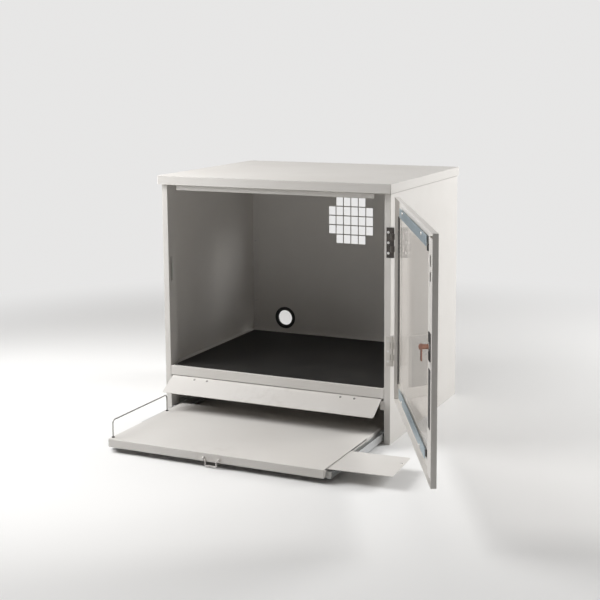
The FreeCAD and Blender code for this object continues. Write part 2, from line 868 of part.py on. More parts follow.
pan_soft = soften("pan_soft", pan_block, "bend_round + 0.3", pan_edge)
pan_room = box(
    "pan_room",
    ("-(half - door_sheet)", "half - door_sheet"),
    ("skin", "rim + 1"),
    ("door_bottom + door_sheet", "door_top - door_sheet"),
)
pan_window = box(
    "pan_window",
    ("-window_left", "window_right"),
    ("face - 1", "skin + 1"),
    ("window_low", "window_high"),
)
GRIP_X = ("grip_x - grip_width / 2", "grip_x + grip_width / 2")
GRIP_FIT = ("grip_x - grip_width / 2 - 0.3", "grip_x + grip_width / 2 + 0.3")
pan_grip = box("pan_grip", GRIP_FIT, ("face - 1", "skin + 1"), ("grip_low - 0.3", "grip_high + 0.3"))
pan_lock = rod("pan_lock", "y", ("lock_x", "lock_level"), "lock_radius + 0.2", ("face - 1", "skin + 1"))
pan_holes = []
for where, level in HINGES.items():
    for number, step in enumerate(LEAF_RIVET_STEPS):
        centre = ("(face + rim) / 2", "%s + %s" % (level, step))
        name = "pan_rivet_%s_%d" % (where, number)
        pan_holes.append(rod(name, "x", centre, 1.7, ("half - 3", "half + 1")))
keep(cut("pan_cut", pan_soft, pan_room, pan_window, pan_grip, pan_lock, *pan_holes), "door_pan", "door")

# Window pane with its gasket, blocks and clamping strips
pane_block = box("pane_box", ("pane_left", "pane_right"), ("skin", "pane_top"), ("pane_low", "pane_high"))


def pane_corner(start, end):
    return abs(start.y - end.y) > 1


keep(soften("pane_soft", pane_block, "3", pane_corner), "window_pane", "door")
gasket_block = box(
    "gasket_box",
    ("pane_right", "pane_right + gasket_width"),
    ("skin", "pane_top + 0.3"),
    ("window_low - 2", "window_high + 2"),
)


def gasket_edge(start, end):
    upright = abs(start.z - end.z) > 1
    return upright and start.y > value("pane_top")


keep(soften("gasket_soft", gasket_block, "1.2", gasket_edge), "pane_gasket", "door")
blocks = []
for end, low, high in (("low", "window_low - 12", "window_low"), ("high", "window_high", "window_high + 12")):
    across = ("pane_left - 10", "pane_left")
    blocks.append(box("pane_block_" + end, across, ("skin", "pane_top + 3.3"), (low, high)))
keep(group("pane_block_group", blocks), "pane_blocks", "door")
retainer_screws = []
STRIP_X = ("-(window_left - 4)", "window_right - 6")
for end, low, stud in (
    ("top", "window_high + 4", "pane_high + 5.5"),
    ("bottom", "window_low - 5 - retainer_height", "pane_low - 5.5"),
):
    strip = box("strip_" + end, STRIP_X, ("pane_top", "strip_top"), (low, "%s + retainer_height" % low))
    strip_holes = []
    for number, across in enumerate((STRIP_X[0] + " + retainer_inset", STRIP_X[1] + " - retainer_inset")):
        name = "strip_%s_%d" % (end, number)
        centre = (across, stud)
        strip_holes.append(rod(name + "_hole", "y", centre, 2.1, ("pane_top - 1", "strip_top + 1")))
        foot = rod(name + "_foot", "y", centre, 4, ("skin", "pane_top"))
        stem = rod(name + "_stem", "y", centre, 2, ("skin", "strip_top + 2.4"))
        head = rod(name + "_head", "y", centre, 4, ("strip_top", "strip_top + 2.4"))
        retainer_screws.append(fuse(name + "_screw", foot, stem, head))
    keep(cut("strip_cut_" + end, strip, *strip_holes), "retainer_" + end, "door")
keep(group("retainer_screw_group", retainer_screws), "retainer_screws", "door")

# Lock side: painted channel, grip shell, lock
CHANNEL_Z = ("door_bottom + 13", "door_top - 13")
channel_plate = box(
    "channel_plate",
    ("channel_left", "channel_right"),
    ("channel_face - door_sheet", "channel_face"),
    CHANNEL_Z,
)
channel_pieces = [channel_plate]
for end, low, high in (
    ("left", "channel_left", "channel_left + door_sheet"),
    ("right", "channel_right - door_sheet", "channel_right"),
):
    channel_pieces.append(box("channel_leg_" + end, (low, high), ("skin", "channel_face"), CHANNEL_Z))


def channel_bend(start, end):
    upright = abs(start.z - end.z) > 1
    sides = near(start.x, "channel_left") or near(start.x, "channel_right")
    return upright and sides and near(start.y, "channel_face")


channel_folded = fuse("channel_folded", *channel_pieces)
channel_bent = soften("channel_bent", channel_folded, "bend_round - 0.2", channel_bend)
channel_holes = [
    box("channel_grip", GRIP_FIT, ("skin", "channel_face + 1"), ("grip_low - 0.3", "grip_high + 0.3")),
    rod("channel_lock", "y", ("lock_x", "lock_level"), "lock_radius + 0.2", ("skin", "channel_face + 1")),
]
SLOTS = (("door_top - 98", "door_top - 78"), ("door_top - 69", "door_top - 46"))
for number, (low, high) in enumerate(SLOTS):
    across = ("grip_x - 7", "grip_x + 7")
    channel_holes.append(box("channel_slot_%d" % number, across, ("skin", "channel_face + 1"), (low, high)))
keep(cut("channel_cut", channel_bent, *channel_holes), "lock_stile", "door")

grip_body = box("grip_body", GRIP_X, ("face", "channel_face + 0.5"), ("grip_low", "grip_high"))
grip_rim = box(
    "grip_rim",
    ("grip_x - grip_width / 2 - 4", "grip_x + grip_width / 2 + 4"),
    ("face - 1.5", "face"),
    ("grip_low - 5", "grip_high + 5"),
)


def grip_corner(start, end):
    upright = abs(start.y - end.y) > 1
    return upright and (start.z < value("grip_low") - 4 or start.z > value("grip_high") + 4)


grip_soft = soften("grip_soft", grip_rim, "4", grip_corner)
grip_room = box(
    "grip_room",
    ("grip_x - grip_width / 2 + grip_wall", "grip_x + grip_width / 2 - grip_wall"),
    ("face - 3", "channel_face + 0.5 - grip_wall"),
    ("grip_low + grip_wall", "grip_high - grip_wall"),
)
keep(cut("grip_cut", fuse("grip_fused", grip_body, grip_soft), grip_room), "grip_shell", "door")

LOCK = ("lock_x", "lock_level")
lock_tube = rod("lock_tube", "y", LOCK, "lock_radius", ("face", "channel_face + 3"))
lock_bezel = rod("lock_bezel", "y", LOCK, "lock_radius + 2", ("face - 2", "face"))
lock_bore = rod("lock_bore", "y", LOCK, "spindle_radius + pin_play", ("face - 5", "channel_face + 5"))
keep(cut("lock_cut", fuse("lock_fused", lock_tube, lock_bezel), lock_bore), "lock_housing", "door")
plate_block = box(
    "plate_block",
    ("lock_x - 11.5", "lock_x + 11.5"),
    ("channel_face", "channel_face + 2"),
    ("lock_level - 28", "lock_level + 27"),
)
plate_hole = rod("plate_hole", "y", LOCK, "lock_radius + 0.2", ("channel_face - 1", "channel_face + 4"))
keep(cut("plate_cut", plate_block, plate_hole), "lock_plate", "door")

spindle_body = rod("spindle_body", "y", LOCK, "spindle_radius", ("face - 2.2", "cam_y"))
spindle_stud = rod("spindle_stud", "y", LOCK, "spindle_radius - 1.5", ("cam_y", "cam_y + cam_sheet + 4"))
key_slot = box(
    "key_slot",
    ("lock_x - 0.7", "lock_x + 0.7"),
    ("face - 4", "face + 4"),
    ("lock_level - 3.5", "lock_level + 3.5"),
)
keep(cut("spindle_cut", fuse("spindle", spindle_body, spindle_stud), key_slot), "lock_spindle", "lock")
cam_plate = box(
    "cam_plate",
    ("lock_x - cam_width / 2", "lock_x + cam_width / 2"),
    ("cam_y", "cam_y + cam_sheet"),
    ("lock_level - cam_length", "lock_level + cam_width / 2"),
)


def cam_corner(start, end):
    return abs(start.y - end.y) > 1


cam_soft = soften("cam_soft", cam_plate, "3", cam_corner)
cam_hole = rod("cam_hole", "y", LOCK, "spindle_radius - 1.45", ("cam_y - 1", "cam_y + cam_sheet + 1"))
keep(cut("cam_cut", cam_soft, cam_hole), "lock_cam", "lock")
nut_block = doc.addObject("Part::Prism", "nut_block")
nut_block.Polygon = 6
nut_block.Placement = Placement(Vector(), TURNS["y"])
bind(nut_block, "Circumradius", "spindle_radius + 1")
bind(nut_block, "Height", "3")
bind(nut_block, "Placement.Base.x", "lock_x")
bind(nut_block, "Placement.Base.y", "cam_y + cam_sheet")
bind(nut_block, "Placement.Base.z", "lock_level")
nut_hole = rod("nut_hole", "y", LOCK, "spindle_radius - 1.45", ("cam_y", "cam_y + cam_sheet + 5"))
keep(cut("nut_cut", nut_block, nut_hole), "lock_nut", "lock")

# Flap over the tray
FLAP_STEPS = ("-(flap_hinge_length / 2 - 6.5)", "flap_hinge_length / 2 - 6.5")
FLAP_HOLES = [(side, step) for side in (-1, 1) for step in FLAP_STEPS]
flap = doc.addObject("PartDesign::Body", "flap_body")
flap_outline = sketch_on(flap, "XZ_Plane", "flap_outline")
add_rectangle(flap_outline, "-flap_half", "flap_half", "flap_level - flap_height", "flap_level")
for side, step in FLAP_HOLES:
    add_circle(flap_outline, "%s + %s" % (signed(side, "flap_hinge_x"), step), "flap_level - 9", "1.7")
flap_pad = pad(flap, flap_outline, "flap_sheet", "flap_pad")
bind(flap_outline, "AttachmentOffset.Base.z", "-(flap_back)")
doc.recompute()
low_corners = []
for number, edge in enumerate(flap_pad.Shape.Edges, start=1):
    ends = [vertex.Point for vertex in edge.Vertexes]
    if len(ends) == 2 and abs(ends[0].y - ends[1].y) > 1 and near(ends[0].z, "flap_level - flap_height"):
        low_corners.append("Edge%d" % number)
flap_soft = flap.newObject("PartDesign::Fillet", "flap_soft")
flap_soft.Base = (flap_pad, low_corners)
bind(flap_soft, "Radius", "flap_corner")
flap.Tip = flap_soft
keep(flap, "flap_panel", "flap")

FLAP_AXIS = ("flap_y", "flap_level")
flap_pins = []
flap_rivets = []
for side, end in ((-1, "left"), (1, "right")):
    middle = signed(side, "flap_hinge_x")
    west = "(%s - flap_hinge_length / 2)" % middle
    east = "(%s + flap_hinge_length / 2)" % middle
    third = "(flap_hinge_length / 3)"
    frame_pieces = [
        box(
            "flap_frame_plate_" + end,
            (west, east),
            ("front + sheet", "front + sheet + 1.2"),
            ("flap_level + flap_barrel + 0.5", "sill_low + 16"),
        )
    ]
    moving_pieces = [
        box(
            "flap_leaf_plate_" + end,
            (west, east),
            ("flap_back", "flap_back + 1.2"),
            ("flap_level - 19", "flap_level - flap_barrel - 0.4"),
        )
    ]
    for number in range(3):
        start = "%s + %d * %s + 0.2" % (west, number, third)
        stop = "%s + %d * %s - 0.2" % (west, number + 1, third)
        name = "flap_knuckle_%s_%d" % (end, number)
        barrel = rod(name, "x", FLAP_AXIS, "flap_barrel", (start, stop))
        if number == 1:
            span = ("flap_level - flap_barrel - 1", "flap_level - 0.8")
            neck = box(name + "_neck", (start, stop), ("flap_back", "flap_back + 1.2"), span)
            moving_pieces += [barrel, neck]
        else:
            span = ("flap_level + 0.8", "flap_level + flap_barrel + 1")
            neck = box(name + "_neck", (start, stop), ("front + sheet", "front + sheet + 1.2"), span)
            frame_pieces += [barrel, neck]
    bore_span = (west + " - 1", east + " + 1")
    frame_bore = rod("flap_frame_bore_" + end, "x", FLAP_AXIS, "flap_pin + pin_play", bore_span)
    fixed = cut("flap_frame_cut_" + end, fuse("flap_frame_" + end, *frame_pieces), frame_bore)
    keep(fixed, "flap_frame_leaf_" + end)
    moving_holes = [rod("flap_leaf_bore_" + end, "x", FLAP_AXIS, "flap_pin + pin_play", bore_span)]
    for number, step in enumerate(FLAP_STEPS):
        centre = ("%s + %s" % (middle, step), "flap_level - 9")
        name = "flap_rivet_%s_%d" % (end, number)
        moving_holes.append(rod(name + "_hole", "y", centre, 1.7, ("flap_back - 3", "flap_back + 3")))
        head = rod(name + "_head", "y", centre, 3, ("flap_back - flap_sheet - 0.9", "flap_back - flap_sheet"))
        shank = rod(name + "_shank", "y", centre, 1.6, ("flap_back - flap_sheet - 0.5", "flap_back + 2"))
        flap_rivets.append(fuse(name + "_fused", head, shank))
    moving = cut("flap_leaf_cut_" + end, fuse("flap_leaf_fused_" + end, *moving_pieces), *moving_holes)
    keep(moving, "flap_leaf_" + end, "flap")
    flap_pins.append(rod("flap_pin_" + end, "x", FLAP_AXIS, "flap_pin", (west, east)))
keep(group("flap_pin_group", flap_pins), "flap_pins")
keep(group("flap_rivet_group", flap_rivets), "flap_rivets", "flap")

# Tray
tray_block = box(
    "tray_block",
    ("-tray_half", "tray_half"),
    ("tray_front", "tray_front + tray_depth"),
    ("tray_low", "tray_level"),
)


def tray_edge(start, end):
    upright = abs(start.z - end.z) > 1 and near(start.y, "tray_front")
    top = near(start.z, "tray_level") and near(end.z, "tray_level")
    return upright or (top and near(start.y, "tray_front") and near(end.y, "tray_front"))


tray_soft = soften("tray_soft", tray_block, "bend_round + 0.3", tray_edge)
tray_room = box(
    "tray_room",
    ("-(tray_half - sheet)", "tray_half - sheet"),
    ("tray_front + sheet", "tray_front + tray_depth - sheet"),
    ("tray_low - 1", "tray_under"),
)
tray_gate = box(
    "tray_gate",
    ("tray_half - 3", "tray_half + 1"),
    ("tray_front + swing_y - swing_front - 7", "tray_front + swing_y + swing_reach + 34"),
    ("swing_level - 0.7", "tray_under"),
)
tray_holes = []
for side, end in ((-1, "left"), (1, "right")):
    for number, along in enumerate(TRAY_SCREWS):
        name = "tray_hole_%s_%d" % (end, number)
        through = sided(side, "tray_half - 4", "tray_half + 1")
        tray_holes.append(rod(name, "x", (along, "slide_level"), 1.6, through))
GUARD_FEET = ("guard_y", "guard_y + guard_length")
for number, along in enumerate(GUARD_FEET):
    span = ("tray_under - 1", "tray_level + 1")
    tray_holes.append(rod("tray_post_hole_%d" % number, "z", ("guard_x", along), "guard_wire + 0.1", span))
keep(cut("tray_cut", tray_soft, tray_room, tray_gate, *tray_holes), "tray_pan", "tray")

bushes = []
for number, along in enumerate(GUARD_FEET):
    foot = ("guard_x", along)
    collar = rod("bush_%d" % number, "z", foot, "guard_wire + 2", ("tray_level", "tray_level + 2"))
    bore = rod("bush_bore_%d" % number, "z", foot, "guard_wire + 0.1", ("tray_level - 1", "tray_level + 4"))
    bushes.append(cut("bush_cut_%d" % number, collar, bore))
keep(group("bush_group", bushes), "guard_bushes", "tray")


def bent_wire(label, points, radius, bend, pieces):
    """Round wire along straight runs joined by quarter bends."""
    edges = []
    start = points[0]
    for number in range(1, len(points)):
        corner = points[number]
        if number == len(points) - 1:
            edges.append(Part.LineSegment(start, corner).toShape())
            break
        into = (corner - start).normalize()
        away = (points[number + 1] - corner).normalize()
        begin = corner - into * bend
        finish = corner + away * bend
        middle = corner + (away - into) * bend * (1 - 0.5 ** 0.5)
        edges.append(Part.LineSegment(start, begin).toShape())
        edges.append(Part.Arc(begin, middle, finish).toShape())
        start = finish
    heading = points[1] - points[0]
    ring = Part.Wire([Part.Circle(points[0], heading, radius).toShape()])
    item = doc.addObject("Part::Feature", label + "_wire")
    item.Shape = Part.Wire(edges).makePipeShell([ring], True, True)
    return keep(item, label, pieces)


rail_level = value("guard_top - guard_wire")
foot_level = value("tray_under - 3")
guard_across = value("guard_x")
near_post = value(GUARD_FEET[0])
far_post = value(GUARD_FEET[1])
bent_wire(
    "guard_wire",
    [
        Vector(guard_across, near_post, foot_level),
        Vector(guard_across, near_post, rail_level),
        Vector(guard_across, far_post, rail_level),
        Vector(guard_across, far_post, foot_level),
    ],
    value("guard_wire"),
    value("guard_bend"),
    "tray",
)

# Drop bail on the front of the tray
eyes = []
for side, end in ((-1, "left"), (1, "right")):
    eye = box(
        "eye_" + end,
        sided(side, "bail_width / 2 + 2", "bail_width / 2 + 6.5"),
        ("tray_front - 7.5", "tray_front"),
        ("bail_level - 4", "bail_level + 4"),
    )

    def eye_edge(start, end):
        across = abs(start.x - end.x) > 1
        return across and near(start.y, "tray_front - 7.5")

    soft = soften("eye_soft_" + end, eye, "2.5", eye_edge)
    span = sided(side, "bail_width / 2", "bail_width / 2 + 9")
    hole = rod("eye_hole_" + end, "x", ("bail_y", "bail_level"), "bail_wire + pin_play", span)
    eyes.append(cut("eye_cut_" + end, soft, hole))
keep(group("eye_group", eyes), "bail_eyes", "tray")

bail_y = value("bail_y")
bail_high = value("bail_level")
bail_low = value("bail_level - bail_drop")
bail_leg = value("bail_width / 2 - bail_wire")
bail_end = value("bail_width / 2 + 6")
bent_wire(
    "pull_bail",
    [
        Vector(-bail_end, bail_y, bail_high),
        Vector(-bail_leg, bail_y, bail_high),
        Vector(-bail_leg, bail_y, bail_low),
        Vector(bail_leg, bail_y, bail_low),
        Vector(bail_leg, bail_y, bail_high),
        Vector(bail_end, bail_y, bail_high),
    ],
    value("bail_wire"),
    2.6,
    "tray",
)

# Side shelf that swings out from under the tray
SWING = ("swing_x", "tray_front + swing_y")
pin_stem = rod("swing_stem", "z", SWING, "swing_pin", ("swing_level - 1", "tray_under"))
pin_head = rod("swing_head", "z", SWING, "swing_pin + 5", ("swing_level - 3", "swing_level - 0.5"))
keep(fuse("swing_pivot", pin_stem, pin_head), "shelf_pivot", "tray")

swing = doc.addObject("PartDesign::Body", "swing_body")
swing_outline = sketch_on(swing, "XY_Plane", "swing_outline")
add_rectangle(swing_outline, "-swing_tail", "swing_reach", "-swing_front", "swing_back")
add_circle(swing_outline, "0", "0", "swing_pin + pin_play")
add_circle(swing_outline, "swing_reach - 8", "swing_back / 2 + 11", "3.5")
swing_pad = pad(swing, swing_outline, "swing_sheet", "swing_pad")
doc.recompute()


def swing_rounds(label, base, across, radius):
    """Round the two upright corners of the side shelf that lie at one end."""
    corners = []
    for number, edge in enumerate(base.Shape.Edges, start=1):
        ends = [vertex.Point for vertex in edge.Vertexes]
        upright = len(ends) == 2 and abs(ends[0].z - ends[1].z) > 1
        if upright and isinstance(edge.Curve, Part.Line) and near(ends[0].x, across):
            corners.append("Edge%d" % number)
    rounded = swing.newObject("PartDesign::Fillet", label)
    rounded.Base = (base, corners)
    bind(rounded, "Radius", radius)
    doc.recompute()
    return rounded


swing_tips = swing_rounds("swing_tips", swing_pad, "swing_reach", "swing_tip")
swing.Tip = swing_rounds("swing_soft", swing_tips, "-swing_tail", "swing_corner")
swing.Placement = Placement(Vector(), Rotation(Vector(0, 0, 1), 1))
bind(swing, "Placement.Rotation.Angle", "swing_angle * 1 deg")
bind(swing, "Placement.Base.x", "swing_x")
bind(swing, "Placement.Base.y", "tray_front + swing_y - 2 * stage_travel")
bind(swing, "Placement.Base.z", "swing_level")
keep(swing, "side_shelf", "side_shelf")

# Recompute, check and write every piece
doc.recompute()
for item in doc.Objects:
    if "Invalid" in item.State or "Error" in item.State:
        raise RuntimeError("%s is in error: %s" % (item.Label, item.State))
os.makedirs("parts", exist_ok=True)
for item in nodes:
    shape = item.Shape
    if shape.isNull() or not shape.isValid() or not shape.Solids:
        raise RuntimeError("%s has no valid solid" % item.Label)
    shape.exportStep("parts/%s.step" % item.Label)
print("%d pieces written" % len(nodes))
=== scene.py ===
import json
import logging
import math
from dataclasses import dataclass, field
from enum import Enum
from typing import Any, Callable, ClassVar, Optional, Sequence, Union

import bmesh
import bpy
from mathutils import Matrix, Vector


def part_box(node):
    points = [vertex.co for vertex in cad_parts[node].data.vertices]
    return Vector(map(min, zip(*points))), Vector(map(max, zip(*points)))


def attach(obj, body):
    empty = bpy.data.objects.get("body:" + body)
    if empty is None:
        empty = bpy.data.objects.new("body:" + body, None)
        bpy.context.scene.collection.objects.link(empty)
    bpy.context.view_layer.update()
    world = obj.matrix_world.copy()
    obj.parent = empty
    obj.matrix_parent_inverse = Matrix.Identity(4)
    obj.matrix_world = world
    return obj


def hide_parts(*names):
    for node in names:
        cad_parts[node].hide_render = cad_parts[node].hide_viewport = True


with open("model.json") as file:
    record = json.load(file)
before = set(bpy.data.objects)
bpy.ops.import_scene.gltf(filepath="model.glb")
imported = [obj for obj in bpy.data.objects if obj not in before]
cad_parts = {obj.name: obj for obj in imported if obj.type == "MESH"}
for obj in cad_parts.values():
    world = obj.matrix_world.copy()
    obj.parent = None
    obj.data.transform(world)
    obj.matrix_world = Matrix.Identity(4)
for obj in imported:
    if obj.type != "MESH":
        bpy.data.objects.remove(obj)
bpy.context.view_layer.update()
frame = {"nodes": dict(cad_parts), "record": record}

LOG = logging.getLogger("cabinet")
MM = 0.001
TINY = 1e-6
UP = Vector((0, 0, 1))
FRONT = Vector((0, -1, 0))
BACK = Vector((0, 1, 0))
DOOR_OPEN = 117.0
DOOR_AXIS = Vector((319.1, -252.5, 0.0)) * MM
FLAP_OPEN = -60.0
FLAP_AXIS = Vector((0.0, -253.3, 109.3)) * MM
TRAY_OUT = Vector((0.0, -312.0, 0.0)) * MM
Colour = tuple[float, float, float]
Triple = tuple[float, float, float]
Span = tuple[float, float]
Test = Callable[[bmesh.types.BMEdge], bool]
BODY_OF: dict[str, str] = {
    node: body for body, nodes in frame["record"]["behaviour"]["bodies"].items() for node in nodes
}


class Wire:
    """A node's output that takes part in arithmetic."""

    def __init__(self, graph: "Graph", socket: Optional[bpy.types.NodeSocket]) -> None:
        """Keep the tree and the socket together."""
        self.graph = graph
        self.socket = socket

    def out(self, name: str) -> "Wire":
        """Another output of the same node."""
        return Wire(self.graph, self.socket.node.outputs[name])

    def work(self, operation: str, *values: "Value") -> "Wire":
        """Add a Math node that works on the given values in order."""
        return self.graph.node("ShaderNodeMath", {"operation": operation}, dict(enumerate(values)))

    def __add__(self, other: "Value") -> "Wire":
        """Sum."""
        return self.work("ADD", self, other)

    def __radd__(self, other: "Value") -> "Wire":
        """Sum, reflected."""
        return self.work("ADD", other, self)

    def __sub__(self, other: "Value") -> "Wire":
        """Difference."""
        return self.work("SUBTRACT", self, other)

    def __rsub__(self, other: "Value") -> "Wire":
        """Difference, reflected."""
        return self.work("SUBTRACT", other, self)

    def __mul__(self, other: "Value") -> "Wire":
        """Product."""
        return self.work("MULTIPLY", self, other)

    def __rmul__(self, other: "Value") -> "Wire":
        """Product, reflected."""
        return self.work("MULTIPLY", other, self)

    def __pow__(self, other: "Value") -> "Wire":
        """Power."""
        return self.work("POWER", self, other)

    def __rpow__(self, other: "Value") -> "Wire":
        """Power, reflected."""
        return self.work("POWER", other, self)

    def least(self, other: "Value") -> "Wire":
        """The smaller of two values."""
        return self.work("MINIMUM", self, other)

    def most(self, other: "Value") -> "Wire":
        """The larger of two values."""
        return self.work("MAXIMUM", self, other)


Value = Union[Wire, float, int]


@dataclass(frozen=True)
class Grain:
    """A noise: its waves a metre, its finer octaves and their strength."""

    scale: float
    detail: float = 2.0
    rough: float = 0.5


EVEN = Grain(1.0)


class Graph:
    """The node tree of one material or of the world."""

    facing_blend: ClassVar[float] = 0.5

    def __init__(self, owner: Union[bpy.types.Material, bpy.types.World]) -> None:
        """Take over an empty tree."""
        owner.use_nodes = True
        self.tree = owner.node_tree
        self.tree.nodes.clear()

    def node(
        self,
        kind: str,
        settings: Optional[dict[str, Any]] = None,
        inputs: Optional[dict[Union[str, int], Any]] = None,
        output: Union[str, int] = 0,
    ) -> Wire:
        """Add one node.

        Args:
            kind: The node's type name.
            settings: Properties that are set first.
            inputs: Values or wires for its sockets, by name or index.
            output: The output to return.

        Returns:
            A wire from the chosen output.
        """
        item = self.tree.nodes.new(kind)
        for name, setting in (settings or {}).items():
            setattr(item, name, setting)
        for name, given in (inputs or {}).items():
            if isinstance(given, Wire):
                self.tree.links.new(given.socket, item.inputs[name])
            else:
                item.inputs[name].default_value = given
        return Wire(self, item.outputs[output] if len(item.outputs) else None)

    def place(self, scale: Sequence[float] = (1, 1, 1), turn: float = 0.0) -> Wire:
        """Object coordinates, turned about Z by some degrees and then stretched.

        Args:
            scale: Stretch along each turned axis.
            turn: Angle of the turn.

        Returns:
            The coordinates.
        """
        raw = self.node("ShaderNodeTexCoord", output="Object")
        undo = {"Vector": raw, "Rotation": (0, 0, math.radians(turn))}
        turned = self.node("ShaderNodeMapping", {"vector_type": "TEXTURE"}, undo)
        return self.node("ShaderNodeMapping", {}, {"Vector": turned, "Scale": tuple(scale)})

    def noise(self, where: Wire, grain: Grain) -> Wire:
        """Noise between 0 and 1."""
        inputs = {"Vector": where, "Scale": grain.scale, "Detail": grain.detail, "Roughness": grain.rough}
        return self.node("ShaderNodeTexNoise", {}, inputs)

    def cells(self, where: Wire, scale: float, feature: str = "F1") -> Wire:
        """Distance within Voronoi cells."""
        return self.node("ShaderNodeTexVoronoi", {"feature": feature}, {"Vector": where, "Scale": scale})

    def blend(self, share: Value, first: Any, second: Any) -> Wire:
        """Mix two colours."""
        return self.node("ShaderNodeMix", {"data_type": "RGBA"}, {0: share, 6: first, 7: second}, 2)

    def step(self, value: Wire, low: float, high: float) -> Wire:
        """Smooth rise from 0 at low to 1 at high."""
        limits = {"Value": value, "From Min": low, "From Max": high}
        return self.node("ShaderNodeMapRange", {"interpolation_type": "SMOOTHSTEP"}, limits)

    def distance(self, where: Wire, point: Sequence[float]) -> Wire:
        """How far the surface is from a point."""
        ends = {0: where, 1: tuple(point)}
        return self.node("ShaderNodeVectorMath", {"operation": "DISTANCE"}, ends, "Value")

    def relief(self, height: Wire, depth: float, strength: float) -> Wire:
        """Bump of a given depth in metres."""
        return self.node("ShaderNodeBump", {}, {"Strength": strength, "Distance": depth, "Height": height})

    def seen(self) -> Wire:
        """1 for rays that show a surface, 0 for those that only light one."""
        path = self.node("ShaderNodeLightPath", output="Is Camera Ray")
        return path.most(path.out("Is Glossy Ray")).most(path.out("Is Transmission Ray"))

    def grazing(self) -> Wire:
        """0 where a surface is seen head on, 1 where it is seen edge on."""
        return self.node("ShaderNodeLayerWeight", {}, {"Blend": self.facing_blend}, "Facing")

    def skin(self, **inputs: Any) -> Wire:
        """A Principled surface, with underscores for the spaces in its sockets' names."""
        named = {name.replace("_", " "): given for name, given in inputs.items()}
        return self.node("ShaderNodeBsdfPrincipled", {}, named)

    def surface(self, shader: Wire, output: str = "ShaderNodeOutputMaterial") -> None:
        """Feed the shader to the output."""
        self.node(output, {}, {"Surface": shader})


def rgba(colour: Colour) -> tuple[float, float, float, float]:
    """A colour with full cover."""
    return (*colour, 1.0)


@dataclass(frozen=True)
class Finish:
    """A surface finish that makes its own material."""

    made: ClassVar[dict[str, bpy.types.Material]] = {}
    name: str

    def material(self) -> bpy.types.Material:
        """The material of this finish, made once."""
        if self.name not in self.made:
            self.made[self.name] = bpy.data.materials.new(self.name)
            self.dress(Graph(self.made[self.name]))
        return self.made[self.name]

    def dress(self, graph: Graph) -> None:
        """Fill the material's tree."""
        raise NotImplementedError


@dataclass(frozen=True)
class PowderCoat(Finish):
    """Baked powder paint with an orange-peel skin, faint rubs, floor dust, hand marks and a painted shadow
    line under the lid's overhang.
    """

    colour: Colour = (0.704, 0.684, 0.655)
    shade: Colour = (0.654, 0.628, 0.597)
    grime: Colour = (0.430, 0.400, 0.360)
    # Colour of the painted shadow line just under the lid's overhang.
    lid_seam_shadow_colour: Colour = (0.170, 0.155, 0.135)
    peel_per_metre: float = 620.0
    peel_depth: float = 0.06 * MM
    roughness: float = 0.57
    gloss_level: float = 0.30
    floor_dust: float = 0.0
    # Strength of the painted shadow line under the lid, which lies between seam_level less seam_height and
    # seam_level.
    dust_height: float = 50.0 * MM
    lid_seam_shadow_strength: float = 0.0
    seam_level: float = 615.0 * MM
    seam_height: float = 4.0 * MM
    touched: Optional[Triple] = None
    touch_radius: float = 120.0 * MM
    touch_core: ClassVar[float] = 20.0 * MM
    clouds: ClassVar[Grain] = Grain(5.0, 3.0, 0.55)
    cloud_window: ClassVar[Span] = (0.34, 0.70)
    cloud_tone: ClassVar[float] = 0.5
    cloud_gloss: ClassVar[float] = 0.10
    gloss_start: ClassVar[float] = 0.05
    specks: ClassVar[Grain] = Grain(900.0, 1.0)
    speck_tone: ClassVar[float] = 0.18
    rubs: ClassVar[Grain] = Grain(26.0, 4.0, 0.62)
    rub_stretch: ClassVar[Triple] = (1.0, 1.0, 9.0)
    rub_window: ClassVar[Span] = (0.60, 0.78)
    rub_gloss: ClassVar[float] = 0.08
    seam_start: ClassVar[float] = 0.5
    prints: ClassVar[Grain] = Grain(48.0, 4.0, 0.64)
    print_window: ClassVar[Span] = (0.44, 0.76)
    print_tone: ClassVar[float] = 0.22
    print_gloss: ClassVar[float] = 0.10
    peel_detail: ClassVar[float] = 1.5
    peel_rough: ClassVar[float] = 0.45
    peel_strength: ClassVar[float] = 0.55

    def dress(self, graph: Graph) -> None:
        """Fill the material's tree."""
        where = graph.place()
        clouds = graph.noise(where, self.clouds)
        rubs = graph.noise(graph.place(self.rub_stretch), self.rubs)
        specks = graph.noise(where, self.specks) * self.speck_tone
        tone = graph.step(clouds, *self.cloud_window) * self.cloud_tone + specks
        paint = graph.blend(tone, rgba(self.colour), rgba(self.shade))
        rubbed = graph.step(rubs, *self.rub_window) * self.rub_gloss
        gloss = self.roughness - self.gloss_start + clouds * self.cloud_gloss + rubbed
        if self.floor_dust:
            height = graph.node("ShaderNodeSeparateXYZ", {}, {"Vector": where}, "Z")
            foot = 1 - graph.step(height, 0.0, self.dust_height)
            paint = graph.blend(foot * rubs * self.floor_dust, paint, rgba(self.grime))
            # Painted shadow: a dark band just under the lid's overhang, broken up by the rubs noise.
            seam = graph.step(height, self.seam_level - self.seam_height, self.seam_level)
            dust = seam * (self.seam_start + rubs) * self.lid_seam_shadow_strength
            paint = graph.blend(dust, paint, rgba(self.lid_seam_shadow_colour))
        if self.touched:
            away = graph.distance(where, self.touched)
            near = 1 - graph.step(away, self.touch_core, self.touch_radius)
            marks = near * graph.step(graph.noise(where, self.prints), *self.print_window)
            paint = graph.blend(marks * self.print_tone, paint, rgba(self.grime))
            gloss = gloss - marks * self.print_gloss
        peel = graph.noise(where, Grain(self.peel_per_metre, self.peel_detail, self.peel_rough))
        coat = graph.skin(
            Base_Color=paint,
            Roughness=gloss,
            Specular_IOR_Level=self.gloss_level,
            Normal=graph.relief(peel, self.peel_depth, self.peel_strength),
        )
        graph.surface(coat)


